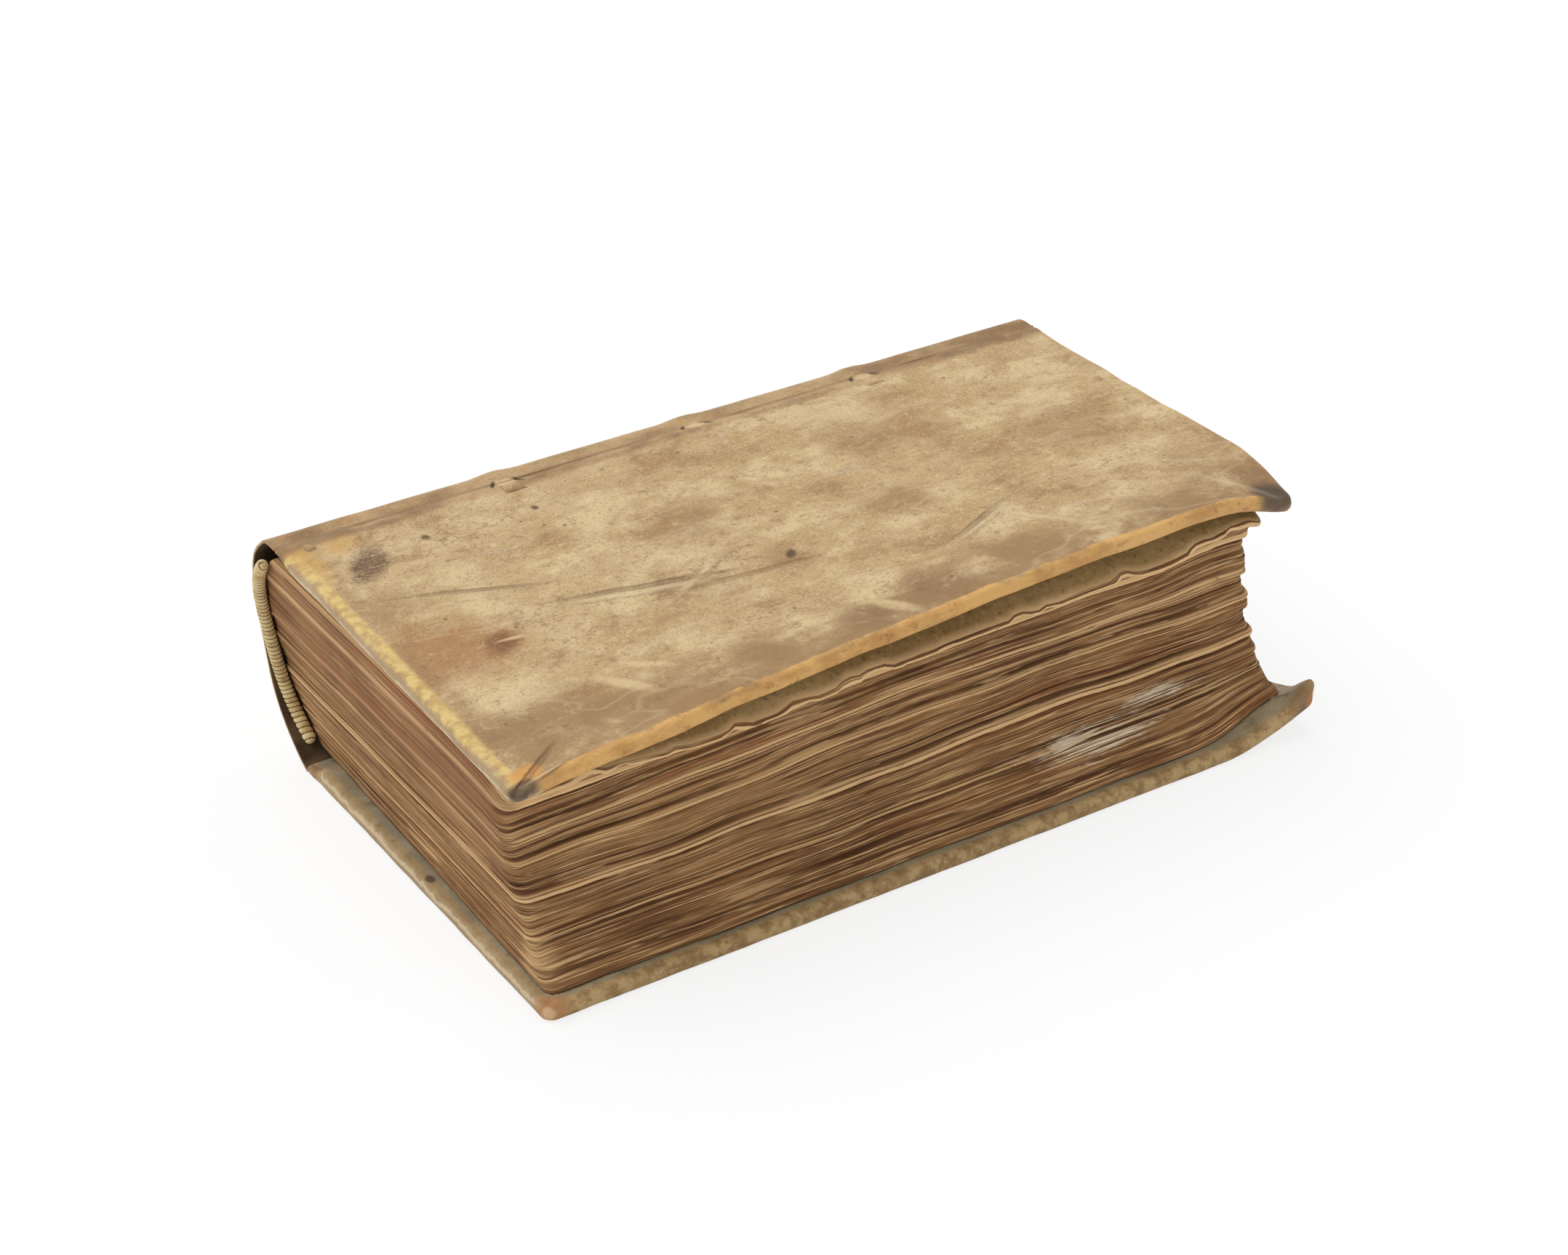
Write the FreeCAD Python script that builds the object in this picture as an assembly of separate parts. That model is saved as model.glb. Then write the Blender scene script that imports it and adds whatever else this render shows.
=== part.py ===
import FreeCAD, Part
import math
import os

from FreeCAD import Vector

# A small book in a laced parchment case, lying on its back cover.
# x runs from the tail to the head, y from the fore-edge to the spine, z up.

# Covers
HEAD_SQUARE = 3.3
FRONT_WIDTH = 94.0
BACK_WIDTH = 92.5
VELLUM = 0.7
BOARD = 1.7
PASTEDOWN = 0.3
PASTE = 0.05
TURN_IN = 13.0
CORNER_RADIUS = 2.4
FRONT_TAIL_OVERHANG = 1.6
FRONT_FORE_SLIP = 2.6
FRONT_FORE_SKEW = 6.0
FRONT_HEAD_SKEW = 2.7
FORE_LIFT = 5.8
LIFT_END = 0.75
LIFT_POWER = 1.4
FRONT_CURL = 4.5
FRONT_CURL_REACH = 20.0
BACK_CURL = 6.0
BACK_CURL_REACH = 22.0
CURL_TIP = 3.0
BOARD_TO_CREASE = 3.0
CREASE_STEP = 2.0

# Text block
BLOCK_HEIGHT = 163.0
BLOCK_SPINE_RISE = 42.3
TAIL_SQUARE = 4.2
FORE_SQUARE = 5.2
FORE_HOLLOW = 7.2
FORE_SKEW = 2.4
BLOCK_LEAN = 6.0
LEAF_DROOP = 5.0
DROOP_REACH = 7.5
LEAF_WAVE = 0.5
WAVES_LONG = 1.3
WAVES_SHORT = 2.9
SECTIONS = 24
SECTION_UNEVENNESS = 0.45
SECTION_RHYTHM = 2.7
SECTION_SETBACK = 1.4
SETBACK_RHYTHM = 5.1
SECTION_GROOVE = 0.6
LEAF_CORNER = 1.4
STATIONS_LONG = 14
ROWS_ACROSS = (0.0, 0.03, 0.12, 0.4, 0.75, 1.0)

# Spine
SPINE_ROUND = 12.8
SPINE_POWER = 3.0
SPINE_TAIL_LEAN = 2.6
SPINE_STATIONS = 15
LEVELLING_STEPS = 6
SUPPORT_PLACES = (46.0, 88.0, 127.5)
SUPPORT_WIDTH = 5.0
SUPPORT = 1.1
SUPPORT_END = 0.04
BAND_RISE = 0.45
BAND_SLOPE = 2.6
LINING = 0.35
LINING_GAP = 1.0
LINING_END = 0.09

# Endbands
CORE_RADIUS = 0.8
CORE_STATIONS = 13
THREAD = 0.45
THREAD_PITCH = 1.1
THREAD_DIP = 0.22
ENDBAND_END = 0.09
ENDBAND_SLIP_WIDTH = 2.4

# Laced slips
SLIP = 0.6
SLIP_PROUD = 0.25
SLIP_WINDOW = 4.0
SLIP_REACH = 16.0
SLIP_TO_CREASE = 1.2

# Clearances
PIVOT_GAP = 0.15
HINGE_ABOVE = 0.2
LEAF_CLEARANCE = 0.3
SPINE_CLEARANCE = 0.15
FLAT_SINK = 0.1
SEAT_CLEARANCE = 0.1

# Sizes that follow from the ones above
COVER_HEIGHT = BLOCK_HEIGHT + TAIL_SQUARE + HEAD_SQUARE
COVER_STACK = 2 * VELLUM + BOARD
BLOCK_FLOOR = COVER_STACK + LEAF_CLEARANCE
CREASE_HEIGHT = BLOCK_FLOOR + BLOCK_SPINE_RISE + LEAF_CLEARANCE + COVER_STACK
BACK_CREASE = BACK_WIDTH
FRONT_CREASE = BACK_WIDTH + CREASE_STEP
HINGE_FRONT = Vector(0, FRONT_CREASE, CREASE_HEIGHT + HINGE_ABOVE)
HINGE_BACK = Vector(0, BACK_CREASE, -HINGE_ABOVE)
SUPPORT_DEPTH = VELLUM + SPINE_CLEARANCE
LINING_DEPTH = SUPPORT_DEPTH + SUPPORT
BLOCK_DEPTH = LINING_DEPTH + SEAT_CLEARANCE
ENDBAND_RADIUS = CORE_RADIUS + THREAD
FRONT_CORNERS = (
    (-FRONT_TAIL_OVERHANG - FRONT_FORE_SLIP, FRONT_CREASE - FRONT_WIDTH),
    (COVER_HEIGHT - FRONT_TAIL_OVERHANG - FRONT_HEAD_SKEW, FRONT_CREASE - FRONT_WIDTH + FRONT_FORE_SKEW),
    (COVER_HEIGHT, FRONT_CREASE - PIVOT_GAP),
    (-FRONT_TAIL_OVERHANG, FRONT_CREASE - PIVOT_GAP),
)
BACK_CORNERS = (
    (0.0, BACK_CREASE - BACK_WIDTH),
    (COVER_HEIGHT, BACK_CREASE - BACK_WIDTH),
    (COVER_HEIGHT, BACK_CREASE - PIVOT_GAP),
    (0.0, BACK_CREASE - PIVOT_GAP),
)

# Grid that carries the warped faces of a cover
SHEET_MARGIN = 6.0
SHEET_COLUMNS = 21
SHEET_ROWS = 15
SHEET_CROWDING = 1.6


def front_outer(x, y):
    """Height of the outside face of the front cover: it yawns open and curls down at the head corner."""
    along = min(max(x / COVER_HEIGHT, 0.0), 1.0)
    across = max((FRONT_CREASE - y) / FRONT_WIDTH, 0.0)
    lift = FORE_LIFT * math.sin(math.pi / 2 * min(along / LIFT_END, 1.0)) * across ** LIFT_POWER
    return CREASE_HEIGHT + lift - FRONT_CURL * corner_share(FRONT_CORNERS[1], FRONT_CURL_REACH, x, y)


def back_outer(x, y):
    """Height of the outside face of the back cover: flat, with its head corner curled up."""
    return BACK_CURL * corner_share(BACK_CORNERS[1], BACK_CURL_REACH, x, y) - FLAT_SINK


def corner_share(corner, reach, x, y):
    """One at a curled corner's soft tip, falling to nothing at the reach of the curl."""
    distance = math.hypot(x - corner[0], y - corner[1], CURL_TIP) - CURL_TIP
    return max(0.0, 1.0 - distance / reach) ** 2


def inset_corners(corners, fore, head, spine, tail):
    """Move the four edges of an outline inwards, each by its own amount."""
    lines = []
    for index, inset in enumerate((fore, head, spine, tail)):
        ax, ay = corners[index]
        bx, by = corners[(index + 1) % 4]
        length = math.hypot(bx - ax, by - ay)
        nx, ny = -(by - ay) / length, (bx - ax) / length
        lines.append((nx, ny, nx * ax + ny * ay + inset))
    moved = []
    for index in range(4):
        a1, b1, c1 = lines[index - 1]
        a2, b2, c2 = lines[index]
        det = a1 * b2 - a2 * b1
        moved.append(((c1 * b2 - c2 * b1) / det, (a1 * c2 - a2 * c1) / det))
    return moved


def rounded_wire(corners, radius):
    """A closed outline whose two fore-edge corners are rounded."""
    edges = []
    start = None
    count = len(corners)
    first = None
    for index in range(count):
        point = Vector(*corners[index], 0)
        before = (Vector(*corners[index - 1], 0) - point).normalize()
        after = (Vector(*corners[(index + 1) % count], 0) - point).normalize()
        enter, leave = point, point
        arc = None
        if index < 2 and radius > 0:
            half = before.getAngle(after) / 2
            run = radius / math.tan(half)
            enter = point + before * run
            leave = point + after * run
            inward = (before + after).normalize()
            middle = point + inward * (radius / math.sin(half) - radius)
            arc = Part.Arc(enter, middle, leave).toShape()
        if start is not None:
            edges.append(Part.makeLine(start, enter))
        else:
            first = enter
        if arc is not None:
            edges.append(arc)
        start = leave
    edges.append(Part.makeLine(start, first))
    return Part.Wire(edges)


def upright(corners, radius=0.0):
    """A tall prism over an outline, to cut a warped layer to shape."""
    low = -SHEET_MARGIN
    high = CREASE_HEIGHT + FORE_LIFT + SHEET_MARGIN
    wire = rounded_wire(corners, radius)
    wire.translate(Vector(0, 0, low))
    return Part.Face(wire).extrude(Vector(0, 0, high - low))


def box_corners(x_low, x_high, y_low, y_high):
    return [(x_low, y_low), (x_high, y_low), (x_high, y_high), (x_low, y_high)]


def warped_face(height):
    """The outside face of a cover, a little larger than the cover, closer gridded at the curled corner."""
    x_low = -FRONT_TAIL_OVERHANG - FRONT_FORE_SLIP - SHEET_MARGIN
    x_high = COVER_HEIGHT + SHEET_MARGIN
    y_low = -SHEET_MARGIN
    y_high = FRONT_CREASE + SHEET_MARGIN
    grid = []
    for column in range(SHEET_COLUMNS):
        share = 1.0 - (1.0 - column / (SHEET_COLUMNS - 1)) ** SHEET_CROWDING
        x = x_low + share * (x_high - x_low)
        line = []
        for row in range(SHEET_ROWS):
            y = y_low + (row / (SHEET_ROWS - 1)) ** SHEET_CROWDING * (y_high - y_low)
            line.append(Vector(x, y, height(x, y)))
        grid.append(line)
    surface = Part.BSplineSurface()
    surface.interpolate(grid)
    return surface.toShape()


def layer(face, inward, start, end):
    """The solid between two depths below a cover's outside face; inward is +1 upwards or -1 downwards."""
    moved = face.copy()
    moved.translate(Vector(0, 0, inward * start))
    return moved.extrude(Vector(0, 0, inward * (end - start)))


def slip_places():
    """Where the slips cross a joint, with their widths: the two endbands and the sewing supports."""
    tail = TAIL_SQUARE - BLOCK_LEAN / 2 + ENDBAND_SLIP_WIDTH
    places = [(tail, ENDBAND_SLIP_WIDTH)]
    for place in SUPPORT_PLACES:
        places.append((place, SUPPORT_WIDTH))
    places.append((tail + BLOCK_HEIGHT - 2 * ENDBAND_SLIP_WIDTH, ENDBAND_SLIP_WIDTH))
    return places


def slip_outlines(crease, place, width):
    """The strap under the vellum and the window through which it shows."""
    low, high = place - width / 2, place + width / 2
    strap = box_corners(low, high, crease - SLIP_REACH, crease - SLIP_TO_CREASE)
    window = box_corners(low, high, crease - SLIP_TO_CREASE - SLIP_WINDOW, crease - SLIP_TO_CREASE)
    return upright(strap), upright(window)


def make_cover(side, face, inward, corners, crease):
    """Board, vellum with its turn-ins, pastedown and laced slips of one cover."""
    beyond = -2 * SHEET_MARGIN
    board_outline = inset_corners(corners, VELLUM, VELLUM, BOARD_TO_CREASE, VELLUM)
    cavity_outline = inset_corners(corners, VELLUM, VELLUM, beyond, VELLUM)
    window_outline = inset_corners(corners, TURN_IN, TURN_IN, beyond, TURN_IN)
    sheet_outline = inset_corners(corners, TURN_IN, TURN_IN, BOARD_TO_CREASE, TURN_IN)
    inner_radius = max(CORNER_RADIUS - VELLUM, 0.0)
    board_layer = layer(face, inward, VELLUM, VELLUM + BOARD)
    board = board_layer.common(upright(board_outline, inner_radius))
    vellum = layer(face, inward, 0, COVER_STACK).common(upright(corners, CORNER_RADIUS))
    vellum = vellum.cut(board_layer.common(upright(cavity_outline, inner_radius)))
    window_layer = layer(face, inward, VELLUM + BOARD, COVER_STACK + SHEET_MARGIN)
    vellum = vellum.cut(window_layer.common(upright(window_outline)))
    glued = VELLUM + BOARD + PASTE
    sheet_layer = layer(face, inward, glued, glued + PASTEDOWN)
    pastedown = sheet_layer.common(upright(sheet_outline))
    strap_layer = layer(face, inward, VELLUM, VELLUM + SLIP)
    proud_layer = layer(face, inward, -SLIP_PROUD, VELLUM)
    outlines = [slip_outlines(crease, place, width) for place, width in slip_places()]
    hidden = [strap_layer.common(strap) for strap, window in outlines]
    shown = [proud_layer.common(window) for strap, window in outlines]
    board = board.cut(hidden)
    vellum = vellum.cut([window for strap, window in outlines])
    pieces = {}
    for number, (inside, outside) in enumerate(zip(hidden, shown), start=1):
        pieces["%s_slip_%d" % (side, number)] = inside.fuse(outside)
    pieces["%s_board" % side] = board
    pieces["%s_vellum" % side] = vellum
    pieces["%s_pastedown" % side] = pastedown
    return pieces


def spine_point(share, depth=0.0):
    """A point of the rounded spine profile at a share of its height, moved inwards by a depth."""
    step = 0.001
    here = profile_point(share)
    tangent = profile_point(share + step) - profile_point(share - step)
    inward = Vector(0, -tangent.z, tangent.y).normalize()
    return here + inward * depth


def profile_point(share):
    y = BACK_CREASE + (FRONT_CREASE - BACK_CREASE) * share
    y += SPINE_ROUND * (1.0 - abs(2.0 * share - 1.0) ** SPINE_POWER)
    return Vector(0, y, CREASE_HEIGHT * share)


def spine_y(z, depth):
    """How far back the spine profile reaches at a height, at a depth below its outside."""
    share = z / CREASE_HEIGHT
    for _ in range(LEVELLING_STEPS):
        share += (z - spine_point(share, depth).z) / CREASE_HEIGHT
    return spine_point(share, depth).y


def spine_curve(depth, low, high):
    points = []
    for index in range(SPINE_STATIONS):
        points.append(spine_point(low + (high - low) * index / (SPINE_STATIONS - 1), depth))
    curve = Part.BSplineCurve()
    curve.interpolate(points)
    return curve.toShape()


def spine_section(outer, inner, low, high, x):
    """The closed section of a piece that follows the spine between two depths."""
    outside = spine_curve(outer, low, high)
    inside = spine_curve(inner, low, high)
    start = Part.makeLine(inside.Vertexes[0].Point, outside.Vertexes[0].Point)
    end = Part.makeLine(outside.Vertexes[-1].Point, inside.Vertexes[-1].Point)
    wire = Part.Wire([outside, end, inside, start])
    wire.translate(Vector(x, 0, 0))
    return wire


def spine_strip(outer, inner, low, high, x_low, x_high):
    section = spine_section(outer, inner, low, high, x_low)
    return Part.Face(section).extrude(Vector(x_high - x_low, 0, 0))


def make_spine_vellum():
    """The vellum over the spine, raised a little over each sewing support."""
    x_low, x_high = -SHEET_MARGIN, COVER_HEIGHT + SHEET_MARGIN
    stations = [(x_low, 0.0)]
    for place in SUPPORT_PLACES:
        half = SUPPORT_WIDTH / 2
        stations.append((place - half - BAND_SLOPE, 0.0))
        stations.append((place - half, BAND_RISE))
        stations.append((place + half, BAND_RISE))
        stations.append((place + half + BAND_SLOPE, 0.0))
    stations.append((x_high, 0.0))
    wires = []
    for x, rise in stations:
        wires.append(spine_section(-rise, VELLUM - rise, 0.0, 1.0, x))
    shell = Part.makeLoft(wires, True, True)
    ends = [
        (0.0, -SHEET_MARGIN),
        (COVER_HEIGHT, -SHEET_MARGIN),
        (COVER_HEIGHT, CREASE_HEIGHT + SHEET_MARGIN),
        (-SPINE_TAIL_LEAN, CREASE_HEIGHT + SHEET_MARGIN),
    ]
    outline = [Vector(x, 0, z) for x, z in ends]
    outline.append(outline[0])
    trim = Part.Face(Part.makePolygon(outline)).extrude(Vector(0, 2 * FRONT_WIDTH, 0))
    middle = CREASE_HEIGHT / 2
    span = COVER_HEIGHT + 4 * SHEET_MARGIN
    for crease, z_low in ((BACK_CREASE, middle - CREASE_HEIGHT), (FRONT_CREASE, middle)):
        side = Part.makeBox(span, crease + PIVOT_GAP, CREASE_HEIGHT, Vector(-2 * SHEET_MARGIN, 0, z_low))
        trim = trim.cut(side)
    return shell.common(trim)


def make_supports():
    pieces = {}
    for number, place in enumerate(SUPPORT_PLACES, start=1):
        low, high = place - SUPPORT_WIDTH / 2, place + SUPPORT_WIDTH / 2
        strap = spine_strip(SUPPORT_DEPTH, LINING_DEPTH, SUPPORT_END, 1.0 - SUPPORT_END, low, high)
        pieces["sewing_support_%d" % number] = strap
    return pieces


def make_linings():
    """Parchment patches between the sewing supports, glued to the back of the block."""
    edges = [TAIL_SQUARE + LINING_GAP]
    for place in SUPPORT_PLACES:
        edges.append(place - SUPPORT_WIDTH / 2 - LINING_GAP)
        edges.append(place + SUPPORT_WIDTH / 2 + LINING_GAP)
    edges.append(TAIL_SQUARE - BLOCK_LEAN + BLOCK_HEIGHT - LINING_GAP)
    pieces = {}
    for number in range(len(edges) // 2):
        low, high = edges[2 * number], edges[2 * number + 1]
        patch = spine_strip(LINING_DEPTH - LINING, LINING_DEPTH, LINING_END, 1.0 - LINING_END, low, high)
        pieces["spine_lining_%d" % (number + 1)] = patch
    return pieces


def block_top(x, y):
    """Top of the leaves: under the front cover, drooping towards the fore-edge."""
    under = front_outer(x, y) - COVER_STACK - LEAF_CLEARANCE
    depth = max(y - FORE_SQUARE, 0.0)
    return under - LEAF_DROOP * math.exp(-depth / DROOP_REACH)


def block_bottom(x, y):
    return back_outer(x, y) + FLAT_SINK + BLOCK_FLOOR


def section_levels():
    """Shares of the block's height at which the gatherings of leaves meet."""
    levels = [0.0]
    for number in range(SECTIONS):
        levels.append(levels[-1] + 1.0 + SECTION_UNEVENNESS * math.sin(SECTION_RHYTHM * (number + 1)))
    return [level / levels[-1] for level in levels]


def section_setback(number):
    return SECTION_SETBACK * (1.0 + math.sin(SETBACK_RHYTHM * (number + 1))) / 2


def block_point(share, setback, along, across):
    """A point of the block at a share of its height, length and width."""
    middle = 1.0 - abs(2.0 * share - 1.0) ** SPINE_POWER
    height = BLOCK_HEIGHT - setback
    x = TAIL_SQUARE - BLOCK_LEAN * share + setback / 2 + along * height
    fore = FORE_SQUARE + FORE_HOLLOW * middle + FORE_SKEW * along * share + setback
    wave = leaf_wave(along, share)
    spine = spine_y(BLOCK_FLOOR + BLOCK_SPINE_RISE * share + wave, BLOCK_DEPTH)
    y = fore + across * (spine - fore)
    if across == 0.0 and along in (0.0, 1.0):
        y += LEAF_CORNER
        x += LEAF_CORNER * (0.5 - along)
    z = block_bottom(x, y) * (1.0 - share) + block_top(x, y) * share + wave
    return Vector(x, y, z)


def leaf_wave(along, share):
    """The cockling of the leaves, strongest at mid height."""
    turn = 2.0 * math.pi
    wave = math.sin(turn * (WAVES_LONG * along + share)) + math.sin(turn * (WAVES_SHORT * along - 2 * share)) / 2
    return LEAF_WAVE * wave * math.sin(math.pi * share)


def make_text_block():
    """All the leaves as one solid: each gathering stands out between two grooves."""
    alongs = [(1.0 - math.cos(math.pi * i / STATIONS_LONG)) / 2 for i in range(STATIONS_LONG + 1)]
    last = len(ROWS_ACROSS) - 1
    loop = [(along, ROWS_ACROSS[0]) for along in alongs[:-1]]
    loop += [(1.0, across) for across in ROWS_ACROSS[:-1]]
    loop += [(along, ROWS_ACROSS[last]) for along in reversed(alongs[1:])]
    loop += [(0.0, across) for across in reversed(ROWS_ACROSS[1:])]
    levels = section_levels()
    rings = []
    for number in range(SECTIONS + 1):
        beside = [section_setback(n) for n in (number - 1, number) if 0 <= n < SECTIONS]
        groove = max(beside) + SECTION_GROOVE
        rings.append([block_point(levels[number], groove, a, b) for a, b in loop])
        if number < SECTIONS:
            crest = (levels[number] + levels[number + 1]) / 2
            rings.append([block_point(crest, section_setback(number), a, b) for a, b in loop])
    triangles = []
    for lower, upper in zip(rings, rings[1:]):
        for index in range(len(loop)):
            following = (index + 1) % len(loop)
            triangles.append((lower[index], lower[following], upper[following]))
            triangles.append((lower[index], upper[following], upper[index]))
    for share, number in ((0.0, 0), (1.0, SECTIONS - 1)):
        setback = section_setback(number) + SECTION_GROOVE
        grid = [[block_point(share, setback, a, b) for b in ROWS_ACROSS] for a in alongs]
        for i in range(STATIONS_LONG):
            for j in range(last):
                a, b, c, d = grid[i][j], grid[i + 1][j], grid[i + 1][j + 1], grid[i][j + 1]
                triangles.append((a, b, c))
                triangles.append((a, c, d))
    faces = [Part.Face(Part.makePolygon([a, b, c, a])) for a, b, c in triangles]
    shell = Part.Shell(faces)
    block = Part.Solid(shell)
    if block.Volume < 0:
        block.reverse()
    return block


def endband_path(count):
    """Points along the tail edge of the block, under the spine vellum, that an endband follows."""
    depth = VELLUM + SPINE_CLEARANCE + ENDBAND_RADIUS
    points = []
    for index in range(count):
        level = ENDBAND_END + (1.0 - 2.0 * ENDBAND_END) * index / (count - 1)
        point = spine_point(level, depth)
        share = (point.z - BLOCK_FLOOR) / BLOCK_SPINE_RISE
        point.x = TAIL_SQUARE - BLOCK_LEAN * share - ENDBAND_RADIUS - SEAT_CLEARANCE
        points.append(point)
    return points


def ring_tube(points, radii):
    """A tube through rings of given radii, straight between one ring and the next."""
    wires = []
    for index, point in enumerate(points):
        before = points[max(index - 1, 0)]
        after = points[min(index + 1, len(points) - 1)]
        circle = Part.Circle(point, after - before, radii[index])
        wires.append(Part.Wire(circle.toShape()))
    return Part.makeLoft(wires, True, True)


def make_endbands():
    """At each end a core along the edge of the spine, wound with thread."""
    path = endband_path(CORE_STATIONS)
    run = sum((after - before).Length for before, after in zip(path, path[1:]))
    turns = max(int(run / THREAD_PITCH), 2)
    points = endband_path(2 * turns + 1)
    radii = [ENDBAND_RADIUS - THREAD_DIP * ((index + 1) % 2) for index in range(len(points))]
    core = ring_tube(path, [CORE_RADIUS] * CORE_STATIONS)
    winding = ring_tube(points, radii).cut(core)
    to_head = Vector(BLOCK_HEIGHT + 2 * (ENDBAND_RADIUS + SEAT_CLEARANCE), 0, 0)
    pieces = {"tail_endband_core": core, "tail_endband_winding": winding}
    for part in ("core", "winding"):
        pieces["head_endband_" + part] = pieces["tail_endband_" + part].translated(to_head)
    return pieces


def main():
    pieces = {"text_block": make_text_block(), "spine_vellum": make_spine_vellum()}
    pieces.update(make_supports())
    pieces.update(make_linings())
    pieces.update(make_endbands())
    front = warped_face(front_outer)
    back = warped_face(back_outer)
    pieces.update(make_cover("front", front, -1, FRONT_CORNERS, FRONT_CREASE))
    pieces.update(make_cover("back", back, 1, BACK_CORNERS, BACK_CREASE))
    below = Part.makeBox(4 * COVER_HEIGHT, 4 * FRONT_WIDTH, COVER_HEIGHT)
    below.translate(Vector(-2 * COVER_HEIGHT, -2 * FRONT_WIDTH, -COVER_HEIGHT))
    for name, shape in pieces.items():
        if name == "spine_vellum" or name == "back_vellum" or name.startswith("back_slip"):
            pieces[name] = shape.cut(below)
    bounds = Part.makeCompound(list(pieces.values())).optimalBoundingBox(False, False)
    home = Vector(-bounds.Center.x, -bounds.Center.y, -bounds.ZMin)
    os.makedirs("parts", exist_ok=True)
    for name, shape in sorted(pieces.items()):
        solids = shape.Solids
        solid = solids[0] if len(solids) == 1 else Part.makeCompound(solids)
        solid.translate(home)
        solid.exportStep(os.path.join("parts", name + ".step"))
        print("%-24s solids %d valid %s volume %.2f" % (name, len(solids), solid.isValid(), solid.Volume))
    print("size", round(bounds.XLength, 2), round(bounds.YLength, 2), round(bounds.ZLength, 2))
    print("home", [round(value, 4) for value in home])
    for name, hinge in (("front", HINGE_FRONT), ("back", HINGE_BACK)):
        print(name, "hinge", [round(value, 4) for value in hinge + home])


main()
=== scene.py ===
# %% [markdown]
# # A small book in a parchment case
#
# This lesson dresses the solid model of an old book. The book lies on its back cover. One skin of
# parchment wraps both thin boards and the spine, and it is laced to the block of leaves in the joints.
# The solid model gives every piece its place, so all lengths here are the ones of the solids, and the
# lesson adds what a solid can't show well: soft folds, worn edges, leaf edges, thread and stains.

# %% Load the frame
import math
import random

import bmesh
import bpy
from mathutils import Matrix, Vector, noise


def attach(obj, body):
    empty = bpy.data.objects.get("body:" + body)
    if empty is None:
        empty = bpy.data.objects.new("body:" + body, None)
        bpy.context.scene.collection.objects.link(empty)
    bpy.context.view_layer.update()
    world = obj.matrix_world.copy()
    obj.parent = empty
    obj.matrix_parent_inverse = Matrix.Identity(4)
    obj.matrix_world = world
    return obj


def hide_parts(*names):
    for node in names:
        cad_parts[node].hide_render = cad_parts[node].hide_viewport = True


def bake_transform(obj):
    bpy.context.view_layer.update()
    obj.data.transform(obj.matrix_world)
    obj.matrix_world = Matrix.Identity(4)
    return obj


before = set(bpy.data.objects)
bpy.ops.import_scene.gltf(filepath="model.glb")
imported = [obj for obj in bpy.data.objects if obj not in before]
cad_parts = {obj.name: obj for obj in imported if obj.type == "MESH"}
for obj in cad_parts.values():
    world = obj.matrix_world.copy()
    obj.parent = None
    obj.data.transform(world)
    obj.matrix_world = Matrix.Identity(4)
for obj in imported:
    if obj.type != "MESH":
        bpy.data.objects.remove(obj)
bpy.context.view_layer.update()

random.seed(7)

# %% [markdown]
# ## The book's own measure
#
# A bookbinder measures from the tail corner of the back cover: x from the tail to the head, y from
# the fore-edge to the spine, z up, in millimetres. The frame is in metres with the middle of the book
# at the origin, so one helper moves a point of the book into the frame. The alternative is to write
# every number in metres from the middle, which is harder to compare with a real book.

# %% Measure of the book
MM = 0.001
HOME = Vector((-83.1849, -53.4288, 0.0))
COVER_HEIGHT = 170.5
FRONT_WIDTH = 94.0
BACK_CREASE = 92.5
FRONT_CREASE = 94.5
CREASE_HEIGHT = 49.1
COVER_STACK = 3.1
VELLUM = 0.7
FRONT_CORNERS = ((-4.2, 0.5), (166.2, 6.5), (170.5, 94.35), (-1.6, 94.35))
BACK_CORNERS = ((0.0, 0.0), (170.5, 0.0), (170.5, 92.35), (0.0, 92.35))
SUPPORT_PLACES = (46.0, 88.0, 127.5)
YAWN = 5.8
YAWN_PLACE = 0.75
FRONT_CURL = 4.5
FRONT_CURL_REACH = 20.0
BACK_CURL = 6.0
BACK_CURL_REACH = 22.0
ARCH_BULGE = 12.8
ARCH_SHIFT = 2.0


def in_frame(x, y, z):
    return (Vector((x, y, z)) + HOME) * MM


def smooth(low, high, value):
    share = min(max((value - low) / (high - low), 0.0), 1.0)
    return share * share * (3.0 - 2.0 * share)


def ripple(x, y, z, size):
    """Gentle random relief between -1 and 1, with hills about as long as the size."""
    return noise.noise(Vector((x, y, z)) / size)


print("tail corner of the back cover", [round(v, 4) for v in in_frame(0, 0, 0)])

# %% [markdown]
# ## The form of the covers and the spine
#
# Old parchment shrinks and pulls the boards. The front cover yawns open along its fore-edge and its
# head corner curls down; the back cover's head corner curls up. The spine is a rounded arch. These
# forms could be sculpted by hand, but a formula lets the skin, the boards and the leaves all follow
# the same surface, and it is the one the solids were made from.

# %% Height of the covers and arch of the spine
def curl(corner, reach, x, y):
    distance = math.hypot(x - corner[0], y - corner[1], 3.0) - 3.0
    return max(0.0, 1.0 - distance / reach) ** 2


def front_face(x, y):
    along = min(max(x / COVER_HEIGHT, 0.0), 1.0)
    across = max((FRONT_CREASE - y) / FRONT_WIDTH, 0.0)
    lift = YAWN * math.sin(math.pi / 2 * min(along / YAWN_PLACE, 1.0)) * across ** 1.4
    return CREASE_HEIGHT + lift - FRONT_CURL * curl(FRONT_CORNERS[1], FRONT_CURL_REACH, x, y)


def back_face(x, y):
    return max(BACK_CURL * curl(BACK_CORNERS[1], BACK_CURL_REACH, x, y) - 0.1, 0.0)


def arch(share):
    y = BACK_CREASE + ARCH_SHIFT * share + ARCH_BULGE * (1.0 - abs(2.0 * share - 1.0) ** 3)
    return Vector((0.0, y, CREASE_HEIGHT * share))


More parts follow.
